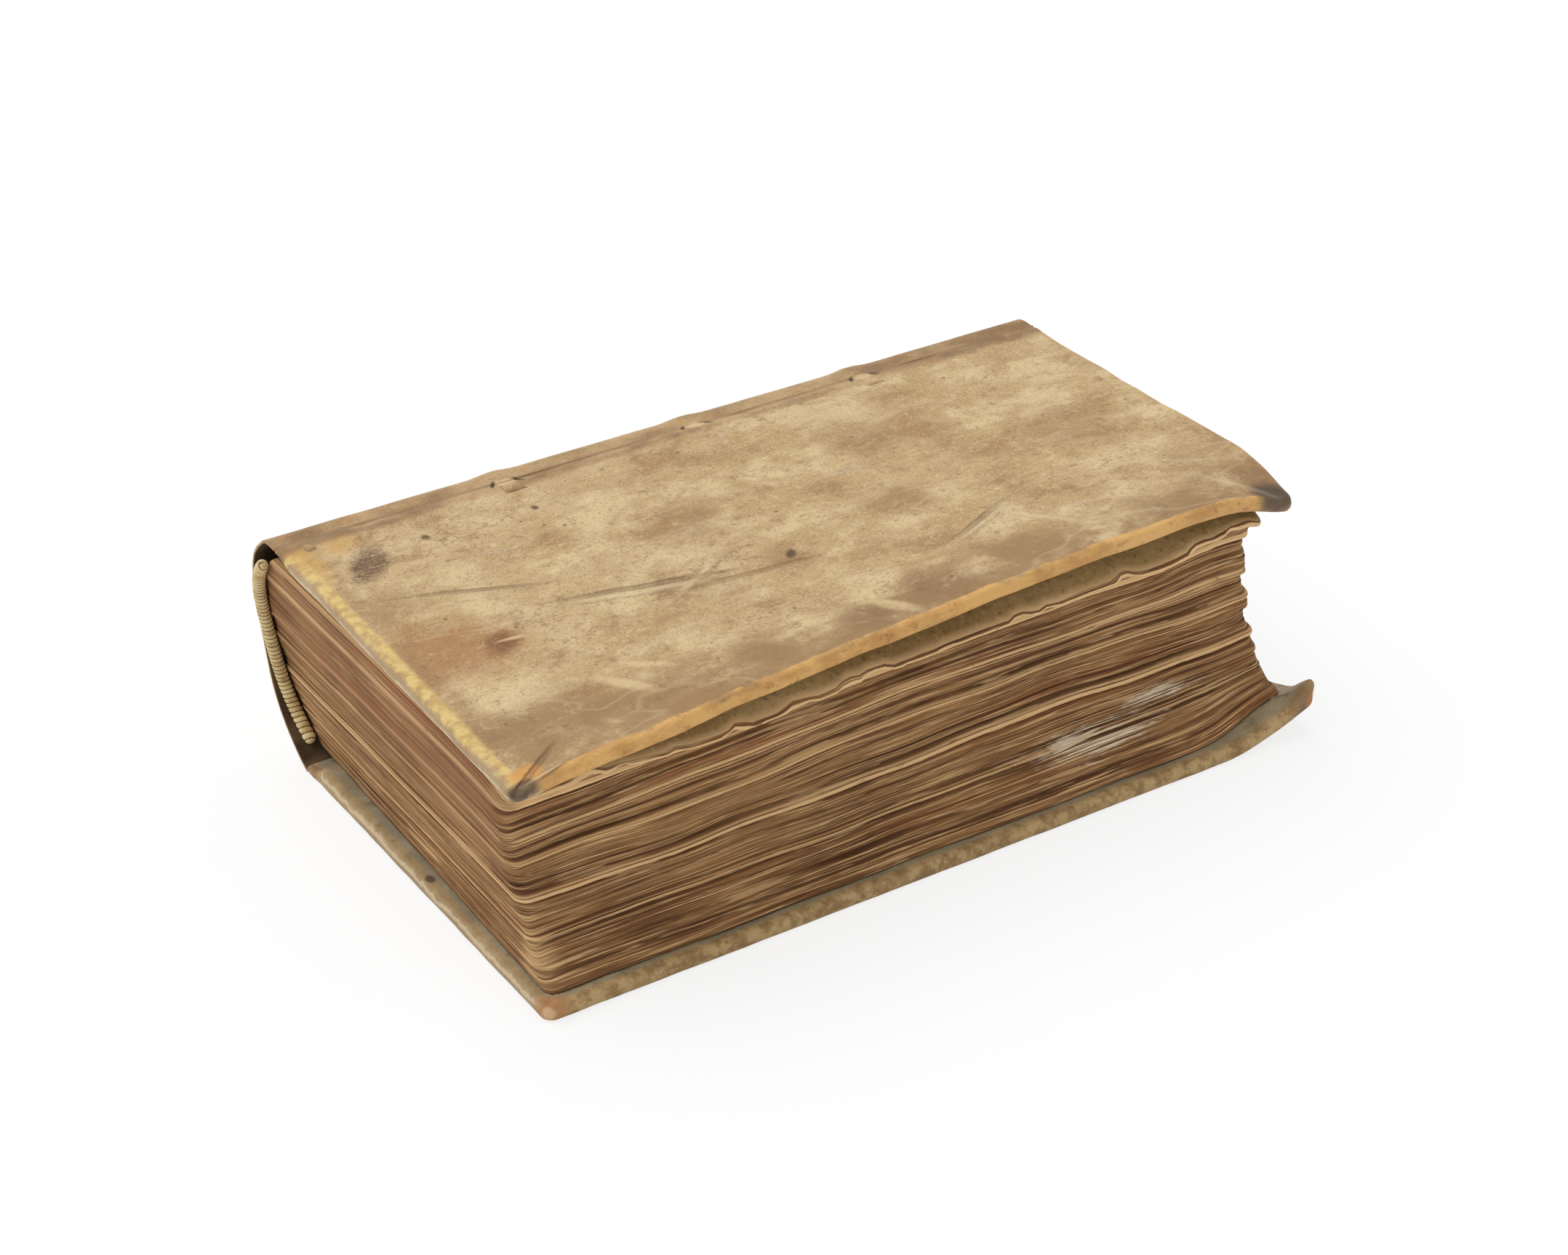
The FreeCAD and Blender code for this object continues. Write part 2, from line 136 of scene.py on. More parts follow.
def arch_point(share, depth):
    """A point of the spine at a share of its height, at a depth below its outside."""
    run = arch(share + 0.001) - arch(share - 0.001)
    return arch(share) + Vector((0.0, -run.z, run.y)).normalized() * depth


print("fore-edge lift", round(front_face(90, 0) - CREASE_HEIGHT, 2), "mm")

# %% [markdown]
# ## Finishes written as sums
#
# A finish is a tree of shader nodes. Wiring it by hand in the editor is clear for five nodes and
# hopeless for fifty, so a small class wraps a socket: adding or multiplying two wrapped sockets adds
# the Math node that does it. Every other node comes from one method of the finish.

# %% A socket that can be added and multiplied
def shade(red, green, blue):
    """A colour as a painter reads it from 0 to 255, turned into the linear values of a shader."""
    linear = []
    for value in (red / 255.0, green / 255.0, blue / 255.0):
        linear.append(value / 12.92 if value <= 0.04045 else ((value + 0.055) / 1.055) ** 2.4)
    return (*linear, 1.0)


class Strand:
    """One output socket of a finish, on which sums can be written."""

    def __init__(self, finish, socket):
        self.finish = finish
        self.socket = socket

    def join(self, operation, first, second):
        return self.finish.node("Math", {"operation": operation}, {0: first, 1: second})

    def __add__(self, other):
        return self.join("ADD", self, other)

    def __radd__(self, other):
        return self.join("ADD", other, self)

    def __sub__(self, other):
        return self.join("SUBTRACT", self, other)

    def __rsub__(self, other):
        return self.join("SUBTRACT", other, self)

    def __mul__(self, other):
        return self.join("MULTIPLY", self, other)

    def __rmul__(self, other):
        return self.join("MULTIPLY", other, self)

    def __abs__(self):
        return self.finish.node("Math", {"operation": "ABSOLUTE"}, {0: self})


class Finish:
    """A material whose nodes are made one by one from a type, its settings and its inputs."""

    def __init__(self, name):
        self.material = bpy.data.materials.new(name)
        self.material.use_nodes = True
        self.tree = self.material.node_tree
        self.shader = self.tree.nodes["Principled BSDF"]
        self.place = self.node("TexCoord", out="Object")

    def node(self, kind, settings=None, inputs=None, out=0):
        made = self.tree.nodes.new("ShaderNode" + kind)
        for key, value in (settings or {}).items():
            setattr(made, key, value)
        for key, value in (inputs or {}).items():
            self.feed(made.inputs[key], value)
        return Strand(self, made.outputs[out])

    def feed(self, socket, value):
        """Links a strand, or sets a value; a colour is three numbers from 0 to 255."""
        if isinstance(value, Strand):
            self.tree.links.new(value.socket, socket)
        elif socket.type == "RGBA":
            socket.default_value = shade(*value)
        else:
            socket.default_value = value

    def attribute(self, name):
        return self.node("Attribute", {"attribute_name": name}, out="Vector")

    def axis(self, vector, letter):
        return self.node("SeparateXYZ", {}, {0: vector}, out=letter)

    def bump(self, height, strength, depth_mm):
        inputs = {"Height": height, "Strength": strength, "Distance": depth_mm * MM}
        return self.node("Bump", {}, inputs, out="Normal")

    def end(self, **inputs):
        for key, value in inputs.items():
            self.feed(self.shader.inputs[key.replace("_", " ")], value)
        return self.material


print("mid tan in linear light", [round(value, 3) for value in shade(198, 168, 127)[:3]])

# %% [markdown]
# ## Words for a finish
#
# Nearly every finish here is a base colour, clouds of other colours, and marks in certain places.
# A few helpers say that: clouds, a colour laid over another by a mask, layers of colour by clouds,
# and a mark, which is a soft ragged ellipse at a place of the book. A painted image could carry the
# marks too, but a mark made from nodes stays sharp at any distance. Many marks of one colour are
# joined into one mask first, because a shader can only hold so many layers.

# %% Helpers for clouds, layers and marks
def clouds(finish, size_mm, stretch=(1.0, 1.0, 1.0), detail=4.0, rough=0.55, source=None):
    """Noise between about 0.2 and 0.8 whose patches are about as large as the size."""
    scale = tuple(part / (size_mm * MM) for part in stretch)
    at = finish.node("Mapping", {}, {"Vector": source or finish.place, "Scale": scale})
    return finish.node("TexNoise", {}, {"Vector": at, "Scale": 1.0, "Detail": detail, "Roughness": rough})


def between(finish, value, low, high, start=0.0, end=1.0):
    inputs = {"Value": value, "From Min": low, "From Max": high, "To Min": start, "To Max": end}
    return finish.node("MapRange", {"interpolation_type": "SMOOTHSTEP"}, inputs)


def over(finish, mask, below, above):
    return finish.node("Mix", {"data_type": "RGBA"}, {0: mask, 6: below, 7: above}, out=2)


def layered(finish, tint, layers):
    """Lays colours over a tint, each where its cloud runs from low to high, up to a greatest share."""
    for cloud, low, high, most, colour in layers:
        tint = over(finish, between(finish, cloud, low, high, 0.0, most), tint, colour)
    return tint


def mark(finish, centre, half, turn, ragged, soft, grain):
    """One inside a soft ellipse at a point of the book, nothing outside it."""
    settings = {"vector_type": "TEXTURE"}
    inputs = {
        "Vector": finish.place,
        "Location": in_frame(*centre),
        "Rotation": (0.0, 0.0, math.radians(turn)),
        "Scale": tuple(part * MM for part in half),
    }
    local = finish.node("Mapping", settings, inputs)
    away = finish.node("VectorMath", {"operation": "LENGTH"}, {0: local}, out="Value")
    away = away + (grain - 0.5) * (2.0 * ragged)
    return between(finish, away, 1.0 + soft / 2, 1.0 - soft / 2)


def marks(finish, spots, high, ragged, soft, grain):
    """The strongest of several marks, each one a centre, two half sizes, a turn and a strength."""
    whole = None
    for centre, half, turn, strength in spots:
        spot = mark(finish, centre, (*half, high), turn, ragged, soft, grain) * strength
        whole = spot if whole is None else whole.join("MAXIMUM", whole, spot)
    return whole


print("helpers for a finish: clouds, between, over, layered, mark, marks")

# %% [markdown]
# ## Parchment
#
# Parchment is limed and scraped skin: pale tan, cloudy with old fat and dirt, translucent yellow
# where wear has polished it, and grey where hands and dust have been. It shows fine follicle specks
# and shallow wrinkles. Wear is kept in the mesh as an attribute with three values: the rolled edge,
# the inside of the turn-in, and the joint. The marks sit where they sit on the real cover. One
# function makes the finish of both covers and the spine, so the clouds run on from piece to piece.
# One finish for all three would be shorter still, but it would carry every mark of every part.

# %% Where the stains, rubs and folds lie
# Half the height of a mark on the front cover, and the turn of most of them, as the camera sees them.
TOP = 2.6
SLANT = -33
# A colour, then its marks: centre, half sizes along and across, turn in degrees, strength.
STAINS = (
    ((158, 123, 82), (
        ((65.4, 59.6, 50.1), (5.8, 8.0), SLANT, 0.7),
        ((72.1, 36.8, 51.4), (4.2, 3.2), SLANT, 0.5),
        ((108.2, 12.7, 53.7), (9.4, 5.2), SLANT, 0.8),
        ((139.1, 11.5, 54.0), (7.3, 4.8), SLANT, 0.7),
        ((49.6, 12.3, 51.9), (6.2, 5.2), SLANT, 0.75),
        ((14.5, 14.7, 49.9), (8.3, 7.2), SLANT, 0.8),
        ((4.6, 63.4, 49.2), (4.2, 6.0), SLANT, 0.55),
        ((110.8, 73.2, 49.8), (9.4, 8.0), SLANT, 0.4),
        ((147.5, 52.1, 51.0), (9.4, 8.0), SLANT, 0.45),
        ((101.3, 44.6, 51.4), (6.2, 6.0), SLANT, 0.55),
        ((155.0, 21.5, 53.0), (6.2, 8.0), SLANT, 0.5),
    )),
    ((146, 112, 74), (
        ((71.8, 10.1, 52.9), (4.8, 4.8), SLANT, 0.85),
        ((88.3, 11.5, 53.4), (6.9, 6.4), SLANT, 0.8),
        ((3.8, 17.9, 49.3), (5.2, 4.8), SLANT, 0.65),
        ((161.5, 14.8, 51.8), (5.2, 4.8), SLANT, 0.7),
    )),
    ((166, 115, 66), (
        ((9.5, 42.2, 49.4), (10.4, 10.0), SLANT, 0.75),
        ((5.0, 49.7, 49.2), (5.2, 6.0), SLANT, 0.6),
    )),
    ((134, 86, 50), (
        ((16.6, 41.4, 49.6), (2.9, 3.6), SLANT, 0.95),
    )),
    ((134, 104, 76), (
        ((10.0, 79.2, 49.2), (3.1, 5.6), SLANT, 0.9),
        ((6.9, 75.6, 49.2), (1.7, 2.4), SLANT, 0.6),
        ((148.9, 93.4, 49.1), (4.4, 2.4), SLANT, 0.9),
        ((159.6, 93.7, 49.1), (5.2, 1.4), SLANT, 0.8),
    )),
    ((88, 64, 42), (
        ((74.0, 37.9, 51.3), (0.9, 1.6), SLANT, 0.9),
        ((23.0, 82.2, 49.2), (0.8, 1.0), 0, 0.9),
        ((45.3, 81.3, 49.3), (0.7, 0.9), 0, 0.9),
    )),
    ((222, 196, 146), (
        ((18.5, 41.6, 49.6), (2.6, 0.5), -8, 0.8),
        ((77.0, 16.6, 52.7), (2.8, 2.4), SLANT, 0.75),
        ((77.6, 10.6, 52.9), (1.3, 4.8), 30, 0.75),
        ((27.0, 17.5, 50.6), (1.2, 5.0), 34, 0.75),
        ((33.0, 20.5, 50.8), (0.9, 4.4), 48, 0.75),
        ((62.0, 16.0, 52.3), (1.4, 3.4), 20, 0.75),
    )),
    ((212, 166, 92), (
        ((0.8, 86.0, 49.1), (2.6, 9.0), 2, 0.8),
        ((8.6, 88.8, 49.1), (2.7, 3.6), SLANT, 0.6),
    )),
)
# The worn corners, with marks laid on last: centre, half sizes, raggedness, colour.
RUBS = {
    "front": (
        ((0.4, 3.6, 49.0), (3.2, 2.4, 2.0), 1.1, (220, 160, 86)),
        ((-1.0, 1.2, 48.6), (1.8, 1.2, 2.0), 1.1, (96, 72, 48)),
        ((-2.4, 1.4, 47.6), (1.6, 1.4, 1.6), 0.7, (70, 48, 32)),
        ((162.0, 7.8, 50.7), (5.2, 4.2, 3.2), 0.7, (74, 62, 52)),
        ((159.6, 3.6, 52.0), (1.6, 0.9, 2.4), 0.5, (196, 118, 58)),
    ),
    "back": (
        ((169.0, 1.6, 5.6), (4.4, 4.2, 4.4), 1.1, (122, 98, 68)),
        ((169.8, 0.8, 7.4), (2.6, 2.2, 2.4), 1.1, (190, 116, 64)),
        ((170.4, 0.3, 8.8), (1.3, 1.2, 1.4), 1.1, (232, 196, 156)),
        ((1.2, 1.0, 1.4), (4.2, 3.4, 3.0), 1.2, (184, 132, 82)),
        ((0.6, 0.6, 1.8), (1.4, 1.1, 1.3), 1.2, (222, 186, 140)),
        ((1.6, 45.0, 3.0), (0.8, 1.3, 1.4), 0.5, (84, 62, 44)),
    ),
}
# Marks of the three ink spots and of the folds: centre, half sizes, turn, strength. The ridges of
# the folds get a painted highlight and their hollows painted shade.
CRACKED = (
    ((10.0, 79.2, 49.2), (3.0, 5.2), SLANT, 0.85),
    ((6.9, 75.6, 49.2), (1.7, 2.4), SLANT, 0.85),
    ((148.9, 93.4, 49.1), (4.0, 2.4), SLANT, 0.85),
)
RAISED = (
    ((45.0, 42.2, 50.4), (12.5, 1.0), -16.0, 0.9),
    ((118.5, 22.0, 53.0), (8.5, 1.1), -53.0, 0.8),
    ((108.0, 26.5, 52.9), (8.0, 0.9), 24.0, 0.8),
    ((56.0, 40.5, 50.8), (7.0, 0.8), 30.0, 0.8),
    ((96.0, 48.0, 51.4), (16.0, 1.4), 12.0, 0.4),
    ((147.0, 30.0, 53.0), (13.0, 1.2), -38.0, 0.5),
    ((3.0, 2.0, 48.9), (4.5, 0.45), 12.0, 1.0),
    ((156.0, 14.0, 52.4), (8.0, 1.0), -48.0, 0.6),
)
SUNK = (
    ((20.5, 60.3, 49.5), (9.0, 0.5), -22.0, 0.8),
    ((64.0, 36.0, 50.9), (11.0, 0.6), -8.0, 0.6),
    ((46.0, 43.8, 50.4), (12.0, 0.6), -16.0, 0.9),
    ((109.0, 28.2, 52.8), (7.0, 0.6), 24.0, 0.8),
    ((2.0, 4.0, 48.9), (5.0, 0.5), 35.0, 1.0),
)

# Where a zone begins and where it is full, in the frame.
FORE_ZONE = (-30.0 * MM, -44.0 * MM)
TAIL_ZONE = (-80.3 * MM, -83.3 * MM)
HEAD_ZONE = (79.5 * MM, 82.5 * MM)
LOW_ZONE = (14.0 * MM, 10.0 * MM)

print("groups of stains on the front", len(STAINS))

# %% Clouds and ground colours of the skin
class SkinFinish(Finish):
    """A finish with the wear and the clouds that all parts of the skin share."""

    def __init__(self, name):
        super().__init__(name)
        skin = self.attribute("skin")
        self.worn = self.axis(skin, "X")
        self.inside = self.axis(skin, "Y")
        self.joint = self.axis(skin, "Z")
        self.broad = clouds(self, 34.0, detail=3.0)
        self.middle = clouds(self, 11.0, (0.75, 1.0, 1.0), 6.0, 0.62)
        self.fine = clouds(self, 2.6, detail=8.0, rough=0.68)
        self.streaks = clouds(self, 7.0, (0.6, 1.35, 1.0), 7.0, 0.72)
        self.soot = clouds(self, 1.1, detail=6.0, rough=0.75)
        self.grit = clouds(self, 0.55, detail=4.0, rough=0.8)
        self.rub = self.worn + (self.middle - 0.5) * 0.35 + (self.fine - 0.5) * 0.2
        self.grain = self.middle * 0.45 + self.fine * 0.55


def cloudy_ground(f):
    """Tan clouds and grit, darker towards the fore-edge and the worn edges, with follicle specks."""
    tint = over(f, between(f, f.broad, 0.36, 0.66), (190, 158, 110), (210, 182, 136))
    tint = layered(f, tint, (
        (f.middle, 0.48, 0.64, 0.85, (221, 196, 148)),
        (f.middle, 0.47, 0.33, 0.75, (164, 128, 85)),
        (f.streaks, 0.55, 0.7, 0.6, (198, 174, 144)),
        (f.streaks, 0.44, 0.32, 0.5, (178, 142, 92)),
        (f.fine, 0.54, 0.68, 0.7, (158, 124, 84)),
        (f.fine, 0.45, 0.3, 0.6, (228, 204, 158)),
        (f.soot, 0.57, 0.72, 0.6, (140, 108, 72)),
        (f.grit, 0.54, 0.64, 0.6, (146, 113, 75)),
        (f.grit, 0.45, 0.35, 0.55, (234, 211, 168)),
    ))
    foreward = between(f, f.axis(f.place, "Y"), *FORE_ZONE)
    tint = over(f, foreward * between(f, f.middle, 0.62, 0.44, 0.1, 0.75), tint, (156, 122, 82))
    toned = between(f, f.rub, 0.02, 0.5) * between(f, f.broad + (f.fine - 0.5) * 0.4, 0.4, 0.6)
    tint = over(f, toned * 0.75, tint, (160, 124, 80))
    cells = {"Vector": f.place, "Scale": 230.0}
    specks = f.node("TexVoronoi", {"feature": "F1"}, cells, out="Distance")
    chosen = between(f, clouds(f, 9.0, detail=2.0), 0.5, 0.6)
    return over(f, between(f, specks, 0.13, 0.05) * chosen * 0.7, tint, (96, 70, 46))


def veins_over(f, tint):
    """Thin dark cracks and wider pale ridges that wander over the skin."""
    vein = clouds(f, 15.0, (0.7, 1.3, 1.0), 5.0, 0.6)
    cracked = between(f, abs(vein - 0.5), 0.009, 0.002) * between(f, f.broad, 0.42, 0.6)
    tint = over(f, cracked * 0.55, tint, (128, 96, 62))
    vein = clouds(f, 22.0, (0.5, 1.2, 1.0), 3.0)
    return over(f, between(f, abs(vein - 0.54), 0.018, 0.0) * 0.2, tint, (226, 202, 158))


print("ground, then veins, then what sits on them")

# %% Ink, joints and worn edges of the skin
def cracks_over(f, tint):
    """Fine dark cracks inside the old ink spots."""
    cells = {"Vector": f.place, "Scale": 800.0}
    net = f.node("TexVoronoi", {"feature": "DISTANCE_TO_EDGE"}, cells, out="Distance")
    cracks = between(f, net, 0.14, 0.02) * between(f, f.grit, 0.4, 0.52)
    cracks = cracks * marks(f, CRACKED, TOP, 1.0, 0.8, f.grain)
    return over(f, cracks, tint, (88, 66, 46))


def joint_over(f, tint):
    """The browned joint, with painted shade darkest at the bottom of its groove."""
    creased = over(f, between(f, f.middle, 0.38, 0.62), (138, 106, 72), (190, 156, 110))
    creased = layered(f, creased, (
        (f.fine, 0.56, 0.68, 0.7, (204, 146, 82)),
        (f.grit, 0.54, 0.66, 0.6, (104, 78, 52)),
    ))
    tint = over(f, between(f, f.joint, 0.2, 0.85, 0.0, 0.8), tint, creased)
    # Painted shade at the bottom of the groove, where the joint value nears 1.
    bottom = between(f, f.joint, 0.9, 1.0, 0.0, 0.4) * between(f, f.middle, 0.35, 0.6)
    return over(f, bottom, tint, (104, 78, 54))


def slits_over(f, tint):
    """Painted shade in the slits through which the sewing supports are laced, and the pale bits seen
    between them.
    """
    bits = []
    slits = []
    for place in SUPPORT_PLACES:
        bits.append(((place, 94.2, 49.6), (2.2, 1.3), 0, 0.85))
        slits.append(((place - 2.6, 94.2, 49.6), (0.45, 1.8), -30, 0.9))
        slits.append(((place + 2.7, 94.0, 49.6), (0.4, 1.5), 30, 0.8))
    tint = over(f, marks(f, bits, 3.0, 0.7, 0.7, f.fine), tint, (222, 194, 146))
    # The dark slits are painted shade.
    return over(f, marks(f, slits, 3.0, 0.7, 0.7, f.fine), tint, (60, 42, 28))


def edges_over(f, tint):
    """Yellow polish along the rolled edges; a streak, a dull strip and a pale fold at the tail."""
    along = f.axis(f.place, "X")
    tailward = between(f, along, *TAIL_ZONE)
    headward = between(f, along, *HEAD_ZONE)
    below = between(f, f.axis(f.place, "Z"), *LOW_ZONE)
    band = over(f, between(f, f.streaks, 0.42, 0.62), (230, 180, 106), (204, 150, 82))
    band = over(f, between(f, f.fine, 0.55, 0.68, 0.0, 0.7), band, (152, 104, 56))
    flecked = between(f, f.fine, 0.42, 0.6)
    band = over(f, below * 0.85, band, over(f, flecked, (196, 170, 122), (146, 118, 76)))
    polished = between(f, f.rub, 0.72, 0.82) * (1.0 - tailward)
    polished = polished * (1.0 - f.joint) * (1.0 - headward * 0.75)
    tint = over(f, polished * 0.92, tint, band)
    drag = f.worn + (f.middle - 0.5) * 0.16 + (f.fine - 0.5) * 0.12
    streak = between(f, drag, 0.56, 0.7) * (1.0 - between(f, drag, 0.79, 0.86)) * tailward
    yellow = over(f, flecked, (232, 202, 128), (206, 170, 104))
    tint = over(f, streak * (1.0 - below) * 0.85, tint, yellow)
    strip = between(f, drag, 0.8, 0.87) * tailward
    tint = over(f, strip * 0.7, tint, over(f, below, (176, 148, 110), (168, 146, 108)))
    fold = between(f, drag, 0.9, 0.93) * (1.0 - between(f, drag, 0.95, 0.98)) * tailward
    return over(f, fold * 0.75, tint, (222, 202, 166))


print("supports laced at", SUPPORT_PLACES)

# %% Finish of the parchment skin
def parchment_finish(part):
    f = SkinFinish(part + "_parchment")
    tint = cloudy_ground(f)
    if part == "front":
        uneven = between(f, f.soot + (f.fine - 0.5), 0.3, 0.5, 0.55, 1.0)
        for colour, spots in STAINS:
            tint = over(f, marks(f, spots, TOP, 1.3, 1.1, f.grain) * uneven, tint, colour)
        tint = cracks_over(f, tint)
    tint = joint_over(f, veins_over(f, tint))
    if part != "back":
        tint = slits_over(f, tint)
    tint = edges_over(f, tint)
    lining = over(f, between(f, f.middle, 0.38, 0.62), (150, 138, 112), (176, 160, 130))
    lining = over(f, between(f, f.fine, 0.55, 0.72, 0.0, 0.6), lining, (116, 94, 68))
    tint = over(f, f.inside, tint, lining)
    for centre, half, ragged, colour in RUBS.get(part, ()):
        tint = over(f, mark(f, centre, half, 0, ragged, 0.7, f.grain) * 0.88, tint, colour)
    relief = f.middle * 0.8 + f.fine * 0.4 + f.streaks * 0.7 + f.grit * 0.16
    if part == "front":
        raised = marks(f, RAISED, TOP, 1.2, 1.6, f.grain)
        sunk = marks(f, SUNK, TOP, 1.2, 1.6, f.grain)
        # Painted highlight on the raised folds and painted shade in the sunk ones; the same masks shape
        # the bump.
        tint = over(f, raised * 0.45, tint, (226, 204, 162))
        tint = over(f, sunk * 0.5, tint, (132, 100, 66))
        relief = relief + (raised - sunk) * 1.1
    gloss = between(f, f.middle, 0.3, 0.7, 0.66, 0.5) - f.worn * 0.12
    bump = f.bump(relief, 0.9, 0.85)
    return f.end(Base_Color=tint, Roughness=gloss, Normal=bump, Specular_IOR_Level=0.35)


parchment = {part: parchment_finish(part) for part in ("front", "back", "spine")}
print("parchment nodes", {part: len(made.node_tree.nodes) for part, made in parchment.items()})

# %% [markdown]
# ## The skin over a cover
#
# The skin lies flat on the board, rolls round its three free edges and is turned in about thirteen
# millimetres on the inside. It could be a box with bevelled edges, but then nothing turns in. So a
# grid makes the outside, its free border is extruded ring by ring round the edge and inwards, and
# only then is the flat case bent to the form of the cover. Close rings at the border keep the roll
# round, and a little random relief takes away the look of a sheet of plastic.

# %% Place of a ring round the border of a cover
ROLL = 1.25
CORNER = 2.4
TURN_IN = 13.0
ROLL_STEPS = 9


def clamp_in(point, inset, length, width):
    x = min(max(point.x, inset), length - inset)
    y = max(point.y, inset)
    return Vector((x, min(y, width), 0.0))


def ring_point(base, inset, length, width):
    """Moves a point of the rounded border so that it lies at an inset from the cover's outline."""
    if inset >= CORNER:
        return clamp_in(base, inset, length, width)
    core = clamp_in(base, CORNER, length, width)
    away = base - core
    if away.length < 1e-6:
        return base.copy()
    return core + away.normalized() * (CORNER - inset)


def round_corner(x, y, length, width):
    """Turns the square corner of a grid into a round one."""
    reach = CORNER - ROLL
    core = clamp_in(Vector((x, y, 0.0)), CORNER, length, width)
    p, q = (x - core.x) / reach, (y - core.y) / reach
    if p and q:
        x = core.x + p * reach * math.sqrt(1 - q * q / 2)
        y = core.y + q * reach * math.sqrt(1 - p * p / 2)
    return x, y


print("a ring at the corner lies at", ring_point(Vector((1.6, 1.6, 0)), 0.0, 170, 94))

# %% Flat case of one cover
def crowd(share):
    """Spreads grid lines so that they lie closer together at both ends."""
    return share - 0.55 * math.sin(2 * math.pi * share) / (2 * math.pi)


def case_rings():
    """Inset, share of the cover's depth, edge or not, and inside or not, for every ring of the border."""
    rings = []
    for step in range(1, ROLL_STEPS + 1):
        angle = math.pi * step / ROLL_STEPS
        inset = ROLL - ROLL * math.sin(angle) ** 0.8
        rings.append((inset, (1 - math.cos(angle)) / 2, 1.0, smooth(5, ROLL_STEPS, step)))
    for inset in (2.4, 4.0, 7.0, 10.5, TURN_IN):
        rings.append((inset, 1.0, 0.0, 1.0))
    rings.append((TURN_IN + 0.1, 0.82, 0.0, 1.0))
    return rings


def spot_key(vert):
    return tuple(round(value, 5) for value in vert.co)


def flat_case(length, width, columns, rows):
    """A flat skin with a rolled border and a turn-in; z counts down into the cover."""
    bm = bmesh.new()
    worn = bm.verts.layers.float_vector.new("skin")
    bmesh.ops.create_grid(bm, x_segments=columns, y_segments=rows, size=0.5)
    for vert in bm.verts:
        x = ROLL + crowd(vert.co.x + 0.5) * (length - 2 * ROLL)
        y = ROLL + crowd(vert.co.y + 0.5) * (width - ROLL)
        vert.co.x, vert.co.y = round_corner(x, y, length, width)
        vert.co.z = 0.0
        away = min(vert.co.x, length - vert.co.x, vert.co.y) - ROLL
        vert[worn] = (0.8 * max(0.0, 1.0 - away / 7.0), 0.0, 0.0)
    border = [e for e in bm.edges if e.is_boundary and min(v.co.y for v in e.verts) < width - 1e-4]
    bases = {v: v.co.copy() for e in border for v in e.verts}
    for inset, depth, edge, inner in case_rings():
        before = {spot_key(vert): vert for vert in bases}
        made = bmesh.ops.extrude_edge_only(bm, edges=border)["geom"]
        border = [item for item in made if isinstance(item, bmesh.types.BMEdge)]
        grown = {}
        for vert in (item for item in made if isinstance(item, bmesh.types.BMVert)):
            grown[vert] = bases[before[spot_key(vert)]]
        for vert, base in grown.items():
            thin = 1.0 - 0.55 * smooth(width - 6.0, width, base.y)
            wobble = 0.12 * ripple(base.x, base.y, 3.0, 5.0) * (1.0 if edge else 3.0)
            spot = ring_point(base, max(inset + wobble, 0.0), length, width)
            vert.co = (spot.x, spot.y, -COVER_STACK * depth * thin)
            vert[worn] = (0.8 + 0.2 * depth if edge else 1.0, inner * (1.0 - edge), 0.0)
        bases = grown
    bmesh.ops.remove_doubles(bm, verts=[v for v in bm.verts if v.co.z < -1.0], dist=1e-4)
    return bm


print("rings round the border", len(case_rings()))

# %% [markdown]
# ## Bending the flat case
#
# Each point of the flat case has a place along the cover, across it, and a depth. The place is
# carried into the cover's own outline, whose corners aren't square, and the depth counts from the
# outside face. Near the crease the skin dips into the joint. The skin gets its thickness from a
# Solidify modifier, inwards, so the outside stays where the solid has it.

# %% Bend a case to its cover
LOWER_DIP = 0.6
GROOVE_DEPTH = 0.5
GROOVE_REACH = 1.7


def groove(distance):
    return GROOVE_DEPTH * math.exp(-((distance / GROOVE_REACH) ** 2))


def corner_relief(x, y):
    """The raised, frayed head and tail corners of the back cover."""
    head, tail = curl(BACK_CORNERS[1], 9.0, x, y), curl(BACK_CORNERS[0], 7.0, x, y)
    peak = 2.6 * math.exp(-((math.hypot(x - 169.4, y - 1.0) / 3.6) ** 2))
    frayed = 0.7 * ripple(x, y, 9.0, 2.0) * head + 0.9 * ripple(x, y, 4.0, 1.7) * tail
    return peak + 0.5 * tail + frayed


def bend_case(bm, corners, face, inward, crease, length, width):
    worn = bm.verts.layers.float_vector["skin"]
    for vert in bm.verts:
        along, across = vert.co.x / length, vert.co.y / width
        depth = -vert.co.z
        low = Vector(corners[0]).lerp(Vector(corners[1]), along)
        high = Vector(corners[3]).lerp(Vector(corners[2]), along)
        x, y = low.lerp(high, across)
        edge, inner, _ = vert[worn]
        relief = 0.34 * ripple(x, y, 1.0, 19.0) + 0.24 * ripple(x, y, 5.0, 7.5)
        if inward > 0:
            relief += corner_relief(x, y)
            z = face(x, y) + depth + groove(crease - y) * LOWER_DIP
            z += abs(relief) if depth > 1.0 else 0.0
        else:
            z = face(x, y) + relief - depth - groove(crease - y)
            y += 0.25 * ripple(x, 0.0, 2.0, 16.0) * (1.0 - across)
        # The joint value nears 1 in the crease, where the finish paints shade at the bottom of the
        # groove.
        joint = smooth(crease - 6.5, crease - 2.0, y) * 0.88
        joint += 0.12 * smooth(crease - 1.6, crease - 0.2, y)
        vert[worn] = (edge * (1.0 - 0.7 * joint), inner, joint * (1.0 - inner))
        vert.co = in_frame(x, y, z)
    middle = in_frame(length / 2, width / 2, 0.0)
    bmesh.ops.recalc_face_normals(bm, faces=bm.faces[:])
    outside = min(bm.faces, key=lambda item: (item.calc_center_median() - middle).xy.length)
    if outside.normal.z * inward > 0:
        bmesh.ops.reverse_faces(bm, faces=bm.faces[:])


